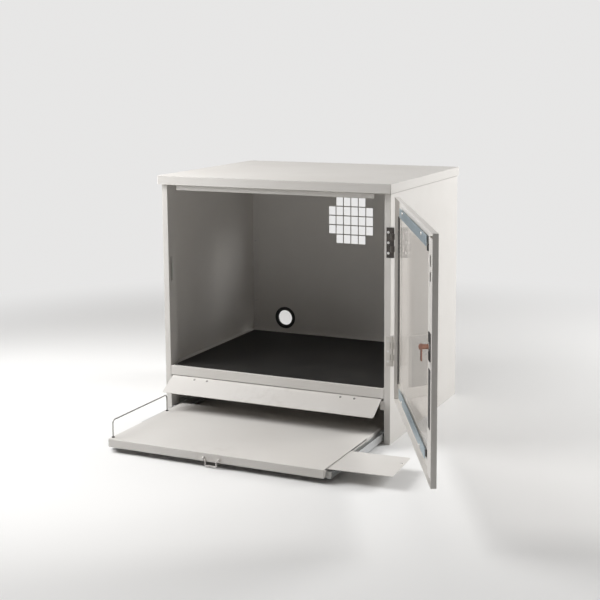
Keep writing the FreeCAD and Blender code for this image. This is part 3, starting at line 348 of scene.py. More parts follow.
@dataclass(frozen=True)
class ZincPlate(Finish):
    """Blue-passivated zinc on mild steel, with soft spangle and roll lines."""

    colour: Colour = (0.385, 0.490, 0.560)
    pale: Colour = (0.590, 0.670, 0.720)
    turn: float = 0.0
    roughness: float = 0.34
    metal: ClassVar[float] = 0.92
    spangle_per_metre: ClassVar[float] = 240.0
    spangle_tone: ClassVar[float] = 0.5
    bloom: ClassVar[Grain] = Grain(32.0, 3.0, 0.6)
    bloom_tone: ClassVar[float] = 0.7
    bloom_gloss: ClassVar[float] = 0.16
    tone_start: ClassVar[float] = 0.15
    gloss_start: ClassVar[float] = 0.06
    roll_stretch: ClassVar[Triple] = (4.0, 900.0, 900.0)
    roll_gloss: ClassVar[float] = 0.06
    roll_depth: ClassVar[float] = 0.02 * MM
    roll_strength: ClassVar[float] = 0.35

    def dress(self, graph: Graph) -> None:
        """Fill the material's tree."""
        where = graph.place((1, 1, 1), self.turn)
        spangle = graph.cells(where, self.spangle_per_metre)
        lines = graph.noise(graph.place(self.roll_stretch, self.turn), EVEN)
        bloom = graph.noise(where, self.bloom)
        tone = spangle * self.spangle_tone + bloom * self.bloom_tone - self.tone_start
        shine = bloom * self.bloom_gloss + lines * self.roll_gloss
        plate = graph.skin(
            Base_Color=graph.blend(tone.most(0.0).least(1.0), rgba(self.colour), rgba(self.pale)),
            Metallic=self.metal,
            Roughness=self.roughness - self.gloss_start + shine,
            Normal=graph.relief(lines, self.roll_depth, self.roll_strength),
        )
        graph.surface(plate)


@dataclass(frozen=True)
class PlatedSteel(Finish):
    """Plated steel with a drawn or brushed grain."""

    colour: Colour = (0.700, 0.695, 0.680)
    dull: Colour = (0.520, 0.510, 0.495)
    grain: tuple[float, float, float] = (900.0, 900.0, 30.0)
    roughness: float = 0.24
    metal: float = 1.0
    grain_gloss: ClassVar[float] = 0.08
    grain_depth: ClassVar[float] = 0.01 * MM
    grain_strength: ClassVar[float] = 0.4
    haze: ClassVar[Grain] = Grain(70.0, 3.0, 0.6)
    haze_window: ClassVar[Span] = (0.36, 0.74)
    haze_tone: ClassVar[float] = 0.8
    haze_gloss: ClassVar[float] = 0.12

    def dress(self, graph: Graph) -> None:
        """Fill the material's tree."""
        drawn = graph.noise(graph.place(self.grain), EVEN)
        haze = graph.step(graph.noise(graph.place(), self.haze), *self.haze_window)
        plate = graph.skin(
            Base_Color=graph.blend(haze * self.haze_tone, rgba(self.colour), rgba(self.dull)),
            Metallic=self.metal,
            Roughness=self.roughness + haze * self.haze_gloss + drawn * self.grain_gloss,
            Normal=graph.relief(drawn, self.grain_depth, self.grain_strength),
        )
        graph.surface(plate)


@dataclass(frozen=True)
class ClearSheet(Finish):
    """Clear cast sheet with faint wipe marks."""

    tint: Colour = (0.960, 0.950, 0.940)
    shine: Colour = (0.940, 0.920, 0.905)
    film: Colour = (0.800, 0.785, 0.770)
    head_on: float = 0.08
    mirror_share: float = 0.415
    edge_power: int = 5
    smear: ClassVar[Grain] = Grain(14.0, 4.0, 0.6)
    smear_stretch: ClassVar[Triple] = (1.0, 1.0, 0.5)
    smear_window: ClassVar[Span] = (0.46, 0.80)
    smear_gloss: ClassVar[float] = 0.06
    smear_cover: ClassVar[float] = 0.03
    roughness: ClassVar[float] = 0.02

    def dress(self, graph: Graph) -> None:
        """Fill the material's tree."""
        wipes = graph.noise(graph.place(self.smear_stretch), self.smear)
        smear = graph.step(wipes, *self.smear_window)
        sheen = graph.blend(smear, rgba(self.shine), rgba(self.film))
        haze = smear * self.smear_gloss + self.roughness
        gloss = graph.skin(Base_Color=sheen, Metallic=1.0, Roughness=haze)
        clear = graph.node("ShaderNodeBsdfTransparent", {}, {"Color": rgba(self.tint)})
        mirror = self.head_on + (1.0 - self.head_on) * graph.grazing() ** self.edge_power
        cover = mirror * self.mirror_share + smear * self.smear_cover
        graph.surface(graph.node("ShaderNodeMixShader", {}, {0: cover, 1: clear, 2: gloss}))


@dataclass(frozen=True)
class SawnEdge(Finish):
    """The sheet's sawn edge, green and a little frosted."""

    colour: Colour = (0.300, 0.420, 0.400)
    pale: Colour = (0.480, 0.580, 0.560)
    roughness: ClassVar[float] = 0.22
    saw_stretch: ClassVar[Triple] = (700.0, 700.0, 700.0)
    saw_gloss: ClassVar[float] = 0.20
    saw_depth: ClassVar[float] = 0.03 * MM
    saw_strength: ClassVar[float] = 0.5
    glow: ClassVar[Grain] = Grain(24.0, 3.0)
    glow_window: ClassVar[Span] = (0.35, 0.70)

    def dress(self, graph: Graph) -> None:
        """Fill the material's tree."""
        saw = graph.noise(graph.place(self.saw_stretch), EVEN)
        glow = graph.step(graph.noise(graph.place(), self.glow), *self.glow_window)
        edge = graph.skin(
            Base_Color=graph.blend(glow, rgba(self.colour), rgba(self.pale)),
            Roughness=self.roughness + saw * self.saw_gloss,
            Normal=graph.relief(saw, self.saw_depth, self.saw_strength),
        )
        graph.surface(edge)


@dataclass(frozen=True)
class BlackRubber(Finish):
    """Matt black rubber, greyed where dust has settled."""

    colour: Colour = (0.018, 0.017, 0.016)
    dust: Colour = (0.062, 0.058, 0.053)
    roughness: float = 0.70
    bloom: ClassVar[Grain] = Grain(18.0, 5.0, 0.62)
    bloom_window: ClassVar[Span] = (0.42, 0.78)
    bloom_tone: ClassVar[float] = 0.55
    bloom_gloss: ClassVar[float] = 0.14
    pores: ClassVar[Grain] = Grain(1400.0)
    pore_depth: ClassVar[float] = 0.04 * MM
    pore_strength: ClassVar[float] = 0.6

    def dress(self, graph: Graph) -> None:
        """Fill the material's tree."""
        where = graph.place()
        bloom = graph.step(graph.noise(where, self.bloom), *self.bloom_window)
        pores = graph.noise(where, self.pores)
        rubber = graph.skin(
            Base_Color=graph.blend(bloom * self.bloom_tone, rgba(self.colour), rgba(self.dust)),
            Roughness=self.roughness + bloom * self.bloom_gloss,
            Normal=graph.relief(pores, self.pore_depth, self.pore_strength),
        )
        graph.surface(rubber)


@dataclass(frozen=True)
class GrainedPlastic(Finish):
    """Moulded plastic with a fine pebbled grain."""

    colour: Colour = (0.022, 0.021, 0.021)
    worn: Colour = (0.050, 0.048, 0.046)
    roughness: float = 0.46
    pebbles_per_metre: ClassVar[float] = 1500.0
    pebble_depth: ClassVar[float] = 0.06 * MM
    pebble_strength: ClassVar[float] = 0.5
    rub: ClassVar[Grain] = Grain(60.0, 3.0, 0.6)
    rub_window: ClassVar[Span] = (0.45, 0.75)
    rub_tone: ClassVar[float] = 0.5
    rub_gloss: ClassVar[float] = 0.10

    def dress(self, graph: Graph) -> None:
        """Fill the material's tree."""
        where = graph.place()
        pebbles = graph.cells(where, self.pebbles_per_metre, "SMOOTH_F1")
        rub = graph.step(graph.noise(where, self.rub), *self.rub_window)
        plastic = graph.skin(
            Base_Color=graph.blend(rub * self.rub_tone, rgba(self.colour), rgba(self.worn)),
            Roughness=self.roughness - rub * self.rub_gloss,
            Normal=graph.relief(pebbles, self.pebble_depth, self.pebble_strength),
        )
        graph.surface(plastic)


class Finishes:
    """Every finish that the cabinet wears."""

    # The shell gets floor dust and the painted shadow line under the lid.
    shell = PowderCoat("shell_paint", floor_dust=0.22, lid_seam_shadow_strength=0.9)
    lid = PowderCoat("lid_paint", peel_per_metre=560.0, roughness=0.59, gloss_level=0.12)
    door = PowderCoat("door_paint", touched=(0.604, -0.777, 0.300))
    flap = PowderCoat("flap_paint", touched=(0.0, -0.310, 0.080), touch_radius=0.16)
    tray = PowderCoat("tray_paint", touched=(0.0, -0.578, 0.020), touch_radius=0.10)
    small = PowderCoat("fitting_paint", peel_per_metre=800.0)
    # The two hinges are the same plated part. The lower one gets a pale colour that is a painted
    # reflection of the light, and the upper one a near black that is a painted dark reflection.
    lower_hinge_pale_reflection = PowderCoat("pale_reflection_hinge", (0.640, 0.615, 0.575), (0.560, 0.535, 0.495))
    strip = ZincPlate("strip_zinc", turn=DOOR_OPEN)
    slide = ZincPlate("slide_zinc", (0.560, 0.575, 0.585), (0.700, 0.705, 0.705), 90.0, 0.30)
    cam = ZincPlate("cam_zinc", (0.300, 0.150, 0.115), (0.420, 0.260, 0.205), 90.0, 0.30)
    steel = PlatedSteel("screw_steel")
    guard = PlatedSteel("guard_wire_steel", (0.400, 0.390, 0.375), (0.270, 0.262, 0.250))
    rivet = PlatedSteel("rivet_steel", (0.300, 0.290, 0.280), (0.200, 0.192, 0.185), roughness=0.34)
    # Near black: a painted dark reflection on the upper hinge.
    upper_hinge_dark_reflection = PlatedSteel(
        "dark_reflection_hinge", (0.062, 0.056, 0.052), (0.110, 0.098, 0.088), roughness=0.40, metal=0.75
    )
    brass = PlatedSteel("lock_brass", (0.400, 0.220, 0.165), (0.220, 0.120, 0.092), roughness=0.32)
    pane = ClearSheet("pane_clear")
    pane_edge = SawnEdge("pane_edge")
    rubber = BlackRubber("rubber_matt")
    plastic = GrainedPlastic("plastic_grained")
    nylon = GrainedPlastic("nylon_pale", (0.560, 0.550, 0.525), (0.470, 0.460, 0.435), 0.50)


class Recess(Enum):
    """What the top of a fastener shows."""

    CROSS = "cross"
    DOME = "dome"


class Pose(Enum):
    """How a body stands at rest, from its closed place."""

    FIXED = "fixed"
    DOOR = "door"
    FLAP = "flap"
    TRAY = "tray"

    def matrix(self) -> Matrix:
        """The move from the closed place to the place shown.

        Returns:
            The matrix.
        """
        if self is Pose.DOOR:
            return turn_about(DOOR_AXIS, DOOR_OPEN, "Z")
        if self is Pose.FLAP:
            return turn_about(FLAP_AXIS, FLAP_OPEN, "X")
        if self is Pose.TRAY:
            return Matrix.Translation(TRAY_OUT)
        return Matrix.Identity(4)


def turn_about(point: Vector, degrees: float, axis: str) -> Matrix:
    """A turn about an axis through a point."""
    turn = Matrix.Rotation(math.radians(degrees), 4, axis)
    return Matrix.Translation(point) @ turn @ Matrix.Translation(-point)


def corners(points: Sequence[Vector]) -> tuple[Vector, Vector]:
    """Lowest and highest corner of some points."""
    low = Vector([min(point[axis] for point in points) for axis in range(3)])
    return low, Vector([max(point[axis] for point in points) for axis in range(3)])


class Piece:
    """A mesh in the making that ends as one object."""

    ease_radius: ClassVar[float] = 0.3 * MM
    ease_shortest: ClassVar[float] = 0.1 * MM
    ease_angle: ClassVar[float] = math.radians(40.0)
    eased_crease: ClassVar[float] = 20.0
    moulded_crease: ClassVar[float] = 32.0
    broad_ratio: ClassVar[float] = 20.0
    flat: ClassVar[float] = 0.5
    same_way: ClassVar[float] = 0.99

    def __init__(self, name: str, pose: Pose = Pose.FIXED) -> None:
        """Start with an empty mesh that is drawn closed and posed at the end."""
        self.name = name
        self.pose = pose
        self.creased = False
        self.mesh = bmesh.new()

    @classmethod
    def of_node(cls, node: str, suffix: str = "_eased") -> "Piece":
        """A merged copy of a CAD node's mesh, where it stands.

        Args:
            node: The CAD node.
            suffix: What the copy's name adds.

        Returns:
            The copy.
        """
        piece = cls(node + suffix)
        piece.mesh.from_mesh(frame["nodes"][node].data)
        bmesh.ops.remove_doubles(piece.mesh, verts=piece.mesh.verts, dist=TINY)
        return piece

    def solids(self) -> list[list[Vector]]:
        """The points of each separate solid, in the closed cabinet.

        Returns:
            One list of points for each solid.
        """
        undo = self.pose.matrix().inverted()
        waiting = set(self.mesh.verts)
        found = []
        while waiting:
            shell = [waiting.pop()]
            for vertex in shell:
                linked = {edge.other_vert(vertex) for edge in vertex.link_edges} & waiting
                waiting -= linked
                shell.extend(linked)
            found.append([undo @ vertex.co for vertex in shell])
        return found

    def ease(
        self,
        radius: float = ease_radius,
        segments: int = 2,
        ceiling: float = math.inf,
    ) -> "Piece":
        """Round the sharp edges a little.

        Args:
            radius: How far the rounding reaches.
            segments: Its steps.
            ceiling: Level above which edges stay sharp.

        Returns:
            The piece itself.
        """
        mesh = self.mesh
        limit = math.radians(self.flat)
        bmesh.ops.dissolve_limit(mesh, angle_limit=limit, verts=mesh.verts, edges=mesh.edges)
        self.round_edges(
            lambda edge: edge.calc_face_angle(0.0) > self.ease_angle
            and edge.calc_length() > self.ease_shortest
            and max(vertex.co.z for vertex in edge.verts) < ceiling,
            radius,
            segments,
        )
        self.crease(self.eased_crease)
        wide = [face for face in self.mesh.faces if len(face.verts) > 4]
        bmesh.ops.triangulate(self.mesh, faces=wide)
        return self

    def crease(self, limit: float) -> None:
        """Keep edges sharp past an angle, and where a face is far broader than its neighbour.

        Args:
            limit: The angle in degrees.
        """
        for edge in self.mesh.edges:
            areas = sorted(face.calc_area() for face in edge.link_faces)
            broad = areas[-1] > self.broad_ratio * areas[0]
            edge.smooth = edge.calc_face_angle(math.pi) < math.radians(self.flat if broad else limit)
        self.creased = True

    def block(self, low: Vector, high: Vector) -> None:
        """Add a box between two corners."""
        made = bmesh.ops.create_cube(self.mesh, size=1.0)["verts"]
        bmesh.ops.scale(self.mesh, vec=high - low, verts=made)
        bmesh.ops.translate(self.mesh, vec=(low + high) / 2, verts=made)

    def round_edges(self, wanted: Test, radius: float, segments: int = 3) -> None:
        """Bevel the edges that pass a test.

        Args:
            wanted: The test.
            radius: How far the bevel reaches.
            segments: Its steps.
        """
        bmesh.ops.bevel(
            self.mesh,
            geom=[edge for edge in self.mesh.edges if wanted(edge)],
            offset=radius,
            offset_type="OFFSET",
            affect="EDGES",
            segments=segments,
            profile=0.5,
            material=-1,
        )

    def facing(self, way: Vector, at: Optional[float] = None) -> bmesh.types.BMFace:
        """A face that looks along a direction.

        Args:
            way: The direction.
            at: How far along it the face lies, or None for the furthest.

        Returns:
            The face.
        """
        self.mesh.normal_update()
        looking = [face for face in self.mesh.faces if face.normal.dot(way) > self.same_way]
        if at is None:
            return max(looking, key=lambda face: face.calc_center_median().dot(way))
        return min(looking, key=lambda face: abs(face.calc_center_median().dot(way) - at))

    def sink(self, face: bmesh.types.BMFace, margin: float, move: Vector) -> None:
        """Inset a face by a margin and push what is left along a vector.

        Args:
            face: The face.
            margin: Width of the rim that stays.
            move: Where the middle goes.
        """
        bmesh.ops.inset_region(self.mesh, faces=[face], thickness=margin, use_even_offset=True)
        pushed = bmesh.ops.extrude_discrete_faces(self.mesh, faces=[face])["faces"][0]
        bmesh.ops.translate(self.mesh, vec=move, verts=list(pushed.verts))

    def join(self, other: "Piece", place: Matrix) -> None:
        """Take in another piece's mesh at a place, and free the other."""
        bmesh.ops.transform(other.mesh, matrix=place, verts=other.mesh.verts)
        carrier = bpy.data.meshes.new("carrier")
        other.mesh.to_mesh(carrier)
        other.mesh.free()
        self.mesh.from_mesh(carrier)
        bpy.data.meshes.remove(carrier)

    def done(
        self,
        node: str,
        *finishes: Finish,
        shows_node: bool = False,
    ) -> bpy.types.Object:
        """Close the mesh and hand it over.

        Args:
            node: The CAD node that it stands for, or that it is fixed to.
            finishes: Its finishes, in the order of the faces' indices.
            shows_node: True if the CAD node stays in view.

        Returns:
            The finished object.
        """
        bmesh.ops.transform(self.mesh, matrix=self.pose.matrix(), verts=self.mesh.verts)
        bmesh.ops.recalc_face_normals(self.mesh, faces=self.mesh.faces)
        if not self.creased:
            self.crease(self.moulded_crease)
        for face in self.mesh.faces:
            face.smooth = True
        data = bpy.data.meshes.new(self.name)
        self.mesh.to_mesh(data)
        self.mesh.free()
        data.materials.clear()
        for finish in finishes:
            data.materials.append(finish.material())
        made = bpy.data.objects.new(self.name, data)
        bpy.context.scene.collection.objects.link(made)
        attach(made, BODY_OF[node])
        if not shows_node:
            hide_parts(node)
        LOG.info("%s: %d faces on %s", self.name, len(data.polygons), BODY_OF[node])
        return made


def dress(finish: Finish, *nodes: str) -> None:
    """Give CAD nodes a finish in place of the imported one."""
    for node in nodes:
        materials = frame["nodes"][node].data.materials
        materials.clear()
        materials.append(finish.material())


def ease(
    finish: Finish,
    *nodes: str,
    radius: float = Piece.ease_radius,
    ceiling: float = math.inf,
) -> None:
    """Show copies of CAD nodes with eased edges.

    Args:
        finish: What the copies wear.
        nodes: The CAD nodes.
        radius: How far the rounding reaches.
        ceiling: Level above which edges stay sharp.
    """
    for node in nodes:
        Piece.of_node(node).ease(radius, ceiling=ceiling).done(node, finish)


@dataclass(frozen=True)
class Stem:
    """Measures of one screw or rivet, taken from its CAD solid."""

    rim_share: ClassVar[float] = 0.98
    rim_digits: ClassVar[int] = 6
    tip: Vector
    way: Vector
    length: float
    head_radius: float
    head_height: float
    shank_radius: float
    boss_height: float

    @classmethod
    def measure(cls, points: Sequence[Vector]) -> "Stem":
        """Find the axis, the head's end and the radii of a solid.

        Args:
            points: The solid's points.

        Returns:
            Its measures.
        """
        low, high = corners(points)
        span = high - low
        axis = min(range(3), key=lambda number: abs(span[number - 1] - span[number - 2]))
        centre = (low + high) / 2

        def reach(point: Vector) -> float:
            """How far a point is from the axis."""
            flat = point - centre
            flat[axis] = 0.0
            return flat.length

        radius = max(reach(point) for point in points)
        outer = [point[axis] for point in points if reach(point) > cls.rim_share * radius]
        rims = sorted({round(level, cls.rim_digits) for level in outer})
        first = rims[1] - rims[0]
        last = rims[-1] - rims[-2]
        if len(rims) == 2:
            forward = rims[0] + rims[1] > 2 * centre[axis]
            boss = 0.0
        else:
            forward = last < first
            boss = max(first, last)
        tip = centre.copy()
        tip[axis] = low[axis] if forward else high[axis]
        way = Vector((0, 0, 0))
        way[axis] = 1.0 if forward else -1.0
        shank = min(reach(point) for point in points)
        return cls(tip, way, span[axis], radius, min(first, last), shank, boss)


@dataclass
class Fasteners:
    """A set of equal screws or rivets that stands for one CAD node."""

    node: str
    finish: Finish
    recess: Recess = Recess.CROSS
    pose: Pose = Pose.FIXED
    sides: int = 24
    crown_segments: int = 4
    screw_crown: float = 0.55
    rivet_crown: float = 0.85
    cross_margin: float = 0.18
    cross_reach: float = 0.62
    cross_limit: float = 0.80
    cross_width: float = 0.26
    cross_depth: float = 0.55
    cross_taper: float = 0.7

    def build(self) -> bpy.types.Object:
        """Make every fastener of the set as one piece.

        Returns:
            The piece.
        """
        source = Piece.of_node(self.node)
        source.pose = self.pose
        stems = [Stem.measure(points) for points in source.solids()]
        source.mesh.free()
        piece = Piece(self.node + "_detailed", self.pose)
        for stem in stems:
            turn = UP.rotation_difference(stem.way).to_matrix().to_4x4()
            piece.join(self.one(stem), Matrix.Translation(stem.tip) @ turn)
        return piece.done(self.node, self.finish)

    def one(self, stem: Stem) -> Piece:
        """One fastener that stands on its tip.

        Args:
            stem: Its measures.

        Returns:
            Its mesh.
        """
        part = Piece("fastener")
        self.disc(part, stem.head_radius, stem.length - stem.head_height, stem.head_height)
        neck = stem.length - stem.head_height - stem.boss_height
        part.sink(part.facing(-UP), stem.head_radius - stem.shank_radius, UP * -neck)
        if stem.boss_height:
            self.disc(part, stem.head_radius, 0.0, stem.boss_height)
        share = self.screw_crown if self.recess is Recess.CROSS else self.rivet_crown
        top = stem.length - TINY
        part.round_edges(
            lambda edge: all(vertex.co.z > top for vertex in edge.verts),
            stem.head_height * share,
            self.crown_segments,
        )
        if self.recess is Recess.CROSS:
            self.cut_cross(part, stem)
        return part

    def disc(self, part: Piece, radius: float, level: float, height: float) -> None:
        """Add a round disc.

        Args:
            part: The mesh to add to.
            radius: The disc's radius.
            level: Where its underside lies.
            height: Its height.
        """
        size = {"radius1": radius, "radius2": radius, "depth": height}
        made = bmesh.ops.create_cone(part.mesh, cap_ends=True, segments=self.sides, **size)["verts"]
        bmesh.ops.translate(part.mesh, vec=UP * (level + height / 2), verts=made)

    def cut_cross(self, part: Piece, stem: Stem) -> None:
        """Sink a cross into the crown.

        Args:
            part: The fastener's mesh.
            stem: Its measures.
        """
        crown = part.facing(UP)
        flat = max(vertex.co.xy.length for vertex in crown.verts)
        margin = flat * self.cross_margin
        bmesh.ops.inset_region(part.mesh, faces=[crown], thickness=margin, use_even_offset=True)
        arm = min(stem.head_radius * self.cross_reach, flat * self.cross_limit)
        half_width = arm * self.cross_width
        quarter = math.pi / 2
        for vertex in crown.verts:
            angle = math.atan2(vertex.co.y, vertex.co.x) % quarter
            angle = min(angle, quarter - angle)
            reach = min(arm / math.cos(angle), half_width / max(math.sin(angle), TINY))
            vertex.co.xy = vertex.co.xy.normalized() * reach
        pit = bmesh.ops.extrude_discrete_faces(part.mesh, faces=[crown])["faces"][0]
        floor = list(pit.verts)
        bmesh.ops.translate(part.mesh, vec=UP * (-self.cross_depth * stem.head_height), verts=floor)
        bmesh.ops.scale(part.mesh, vec=(self.cross_taper, self.cross_taper, 1.0), verts=floor)


@dataclass
class Carcass:
    """The fixed shell: sides, base, rear, lid, rail, shelf, brackets and mat."""

    rib_pitch: float = 4.5 * MM
    rib_height: float = 0.6 * MM
    ring_round: float = 0.7 * MM
    ring_steps: int = 3
    lid_seat: float = 613.0 * MM

    def build(self) -> None:
        """Show the shell and add its mat, grommet and screws."""
        shell = Finishes.shell
        ease(shell, "left_side_panel", "right_side_panel", ceiling=self.lid_seat)
        ease(shell, "base_panel", "rear_panel", "top_rail", "equipment_shelf")
        ease(shell, "end_bracket_left", "end_bracket_right")
        ease(Finishes.lid, "lid")
        self.mat()
        ring = Piece.of_node("cable_grommet", "_rounded").ease(self.ring_round, self.ring_steps)
        ring.done("cable_grommet", Finishes.rubber)
        for node in ("rear_panel_screws", "lid_screws"):
            Fasteners(node, Finishes.steel).build()

    def mat(self) -> bpy.types.Object:
        """Ribbed black rubber mat on the equipment shelf. Its black also stands in for painted shade
        inside the cabinet.

        Returns:
            The piece.
        """
        low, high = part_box("shelf_mat")
        size = high - low
        middle = (low + high) / 2
        valley = high.z - self.rib_height
        piece = Piece("shelf_mat_ribbed")
        mesh = piece.mesh
        ribs = int(size.x / self.rib_pitch)
        bmesh.ops.create_grid(mesh, x_segments=2 * ribs + 1, y_segments=1, size=0.5)
        bmesh.ops.scale(mesh, vec=(size.x, size.y, 1.0), verts=mesh.verts)
        bmesh.ops.translate(mesh, vec=(middle.x, middle.y, valley), verts=mesh.verts)
        strips = sorted(mesh.faces, key=lambda face: face.calc_center_median().x)
        grown = bmesh.ops.extrude_face_region(mesh, geom=strips, use_keep_orig=True)["geom"]
        under = [item for item in grown if isinstance(item, bmesh.types.BMVert)]
        bmesh.ops.translate(mesh, vec=UP * (low.z - valley), verts=under)
        ridges = bmesh.ops.extrude_discrete_faces(mesh, faces=strips[0::2])["faces"]
        crests = [vertex for face in ridges for vertex in face.verts]
        bmesh.ops.translate(mesh, vec=UP * self.rib_height, verts=crests)
        return piece.done("shelf_mat", Finishes.rubber)


@dataclass
class Door:
    """The glazed door with its hinges and grip."""

    clear_way: float = 0.95
    rim_corner: float = 7.5 * MM
    rim_steps: int = 6
    rim_height: float = 1.5 * MM
    pocket_margin: float = 6.0 * MM
    body_margin: float = 4.0 * MM
    pocket_floor: float = 2.0 * MM
    mouth_round: float = 1.2 * MM
    mouth_inset: float = 3.0 * MM

    def build(self) -> None:
        """Show the door, its glazing, hinges, grip and fasteners."""
        ease(Finishes.door, "door_pan", "lock_stile")
        ease(Finishes.rubber, "pane_gasket", "pane_blocks")
        ease(Finishes.strip, "retainer_top", "retainer_bottom")
        # The hinge leaves differ only by painted reflections: dark on the upper hinge, pale on the lower.
        ease(Finishes.upper_hinge_dark_reflection, "hinge_frame_leaf_upper")
        ease(Finishes.lower_hinge_pale_reflection, "hinge_frame_leaf_lower")
        dress(Finishes.upper_hinge_dark_reflection, "hinge_door_leaf_upper")
        dress(Finishes.lower_hinge_pale_reflection, "hinge_door_leaf_lower")
        dress(Finishes.steel, "door_hinge_pins")
        self.pane()
        self.grip()
        Fasteners("hinge_frame_screws", Finishes.steel).build()
        Fasteners("retainer_screws", Finishes.steel, pose=Pose.DOOR).build()
        Fasteners("hinge_door_rivets", Finishes.steel, Recess.DOME, Pose.DOOR).build()

    def pane(self) -> bpy.types.Object:
        """Window pane with clear faces and sawn edges.

        Returns:
            The piece.
        """
        piece = Piece.of_node("window_pane").ease()
        across = Pose.DOOR.matrix().to_3x3() @ FRONT
        piece.mesh.normal_update()
        for face in piece.mesh.faces:
            face.material_index = 0 if abs(face.normal.dot(across)) > self.clear_way else 1
        return piece.done("window_pane", Finishes.pane, Finishes.pane_edge)

    def grip(self) -> bpy.types.Object:
        """Recessed grip: a rimmed shell with a rounded mouth.

        Returns:
            The piece.
        """
        source = Piece.of_node("grip_shell")
        source.pose = Pose.DOOR
        low, high = corners(source.solids()[0])
        source.mesh.free()
        piece = Piece("grip_shell_moulded", Pose.DOOR)
        rear_level = low.y + self.rim_height
        piece.block(low, Vector((high.x, rear_level, high.z)))
        piece.round_edges(
            lambda edge: abs(edge.verts[0].co.y - edge.verts[1].co.y) > TINY,
            self.rim_corner,
            self.rim_steps,
        )
        deep = high.y - low.y - self.pocket_floor
        piece.sink(piece.facing(FRONT), self.pocket_margin, BACK * deep)
        piece.sink(piece.facing(BACK, rear_level), self.body_margin, BACK * (high.y - rear_level))
        middle = (low + high) / 2
        half = (high - low) / 2 - Vector((self.mouth_inset, 0.0, self.mouth_inset))

        def at_mouth(edge: bmesh.types.BMEdge) -> bool:
            """True on the pocket's front edge."""
            return all(
                abs(vertex.co.y - low.y) < TINY
                and abs(vertex.co.x - middle.x) < half.x
                and abs(vertex.co.z - middle.z) < half.z
                for vertex in edge.verts
            )

        piece.round_edges(at_mouth, self.mouth_round)
        return piece.done("grip_shell", Finishes.plastic)


@dataclass
class Lock:
    """The cam lock on the door's inside."""

    edge_round: float = 0.3 * MM

    def build(self) -> None:
        """Show the lock's five pieces."""
        ease(Finishes.steel, "lock_housing", radius=self.edge_round)
        ease(Finishes.plastic, "lock_plate", radius=self.edge_round)
        ease(Finishes.brass, "lock_spindle", radius=self.edge_round)
        ease(Finishes.cam, "lock_cam", "lock_nut", radius=self.edge_round)


@dataclass
class Flap:
    """The lifting flap over the tray and its two hinges."""

    edge_round: float = 0.3 * MM

    def build(self) -> None:
        """Show the flap, its hinge leaves, pins and rivets."""
        leaves = ("flap_frame_leaf_left", "flap_frame_leaf_right")
        ease(Finishes.flap, "flap_panel", radius=self.edge_round)
        ease(Finishes.small, *leaves, radius=self.edge_round)
        dress(Finishes.small, "flap_leaf_left", "flap_leaf_right")
        dress(Finishes.steel, "flap_pins")
        Fasteners("flap_rivets", Finishes.rivet, Recess.DOME, Pose.FLAP).build()


@dataclass
class Slides:
    """The pair of three-part telescopic slides."""

    plug_length: float = 8.0 * MM
    plug_wall: float = 1.35 * MM
    plug_back: float = 0.6 * MM
    plug_round: float = 0.9 * MM
    plug_dish: float = 0.5 * MM

    def build(self) -> None:
        """Show the slides, their rivets and the plugs in their front ends."""
        for side in ("left", "right"):
            members = [f"slide_{part}_{side}" for part in ("mount", "outer", "middle", "inner")]
            ease(Finishes.slide, *members)
            self.plug(side)
        Fasteners("slide_rivets", Finishes.steel, Recess.DOME).build()
        Fasteners("tray_screws", Finishes.steel, pose=Pose.TRAY).build()

    def plug(self, side: str) -> bpy.types.Object:
        """Dished nylon plug in the front end of an inner slide member.

        Args:
            side: "left" or "right".

        Returns:
            The piece.
        """
        node = f"slide_inner_{side}"
        low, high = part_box(node)
        near = low + Vector((self.plug_wall, 0.0, self.plug_wall))
        far = Vector((high.x - self.plug_back, low.y + self.plug_length, high.z - self.plug_wall))
        if side == "left":
            near.x = low.x + self.plug_back
            far.x = high.x - self.plug_wall
        piece = Piece(f"slide_plug_{side}")
        piece.block(near, far)
        piece.round_edges(lambda edge: True, self.plug_round)
        piece.sink(piece.facing(FRONT), self.plug_round, BACK * self.plug_dish)
        return piece.done(node, Finishes.nylon, shows_node=True)


@dataclass
class Tray:
    """The sliding tray with its wire guard and pull bail."""

    edge_round: float = 0.3 * MM

    def build(self) -> None:
        """Show the tray and its fittings."""
        ease(Finishes.tray, "tray_pan", radius=self.edge_round)
        ease(Finishes.small, "bail_eyes", radius=self.edge_round)
        dress(Finishes.small, "pull_bail")
        dress(Finishes.guard, "guard_wire")
        dress(Finishes.plastic, "guard_bushes")


@dataclass
class SideShelf:
    """The small shelf that swings out from under the tray."""

    edge_round: float = 0.3 * MM

    def build(self) -> None:
        """Show the shelf and its pivot."""
        ease(Finishes.small, "side_shelf", radius=self.edge_round)
        dress(Finishes.steel, "shelf_pivot")


@dataclass(frozen=True)
class Lamp:
    """A soft box."""

    name: str
    at: Triple
    towards: Triple
    width: float
    watts: float

    def build(self) -> None:
        """Hang the lamp and aim it."""
        data = bpy.data.lights.new(self.name, "AREA")
        data.shape = "SQUARE"
        data.size = self.width
        data.energy = self.watts
        lamp = bpy.data.objects.new(self.name, data)
        lamp.location = self.at
        aim = Vector(self.towards) - Vector(self.at)
        lamp.rotation_euler = aim.to_track_quat("-Z", "Y").to_euler()
        bpy.context.scene.collection.objects.link(lamp)


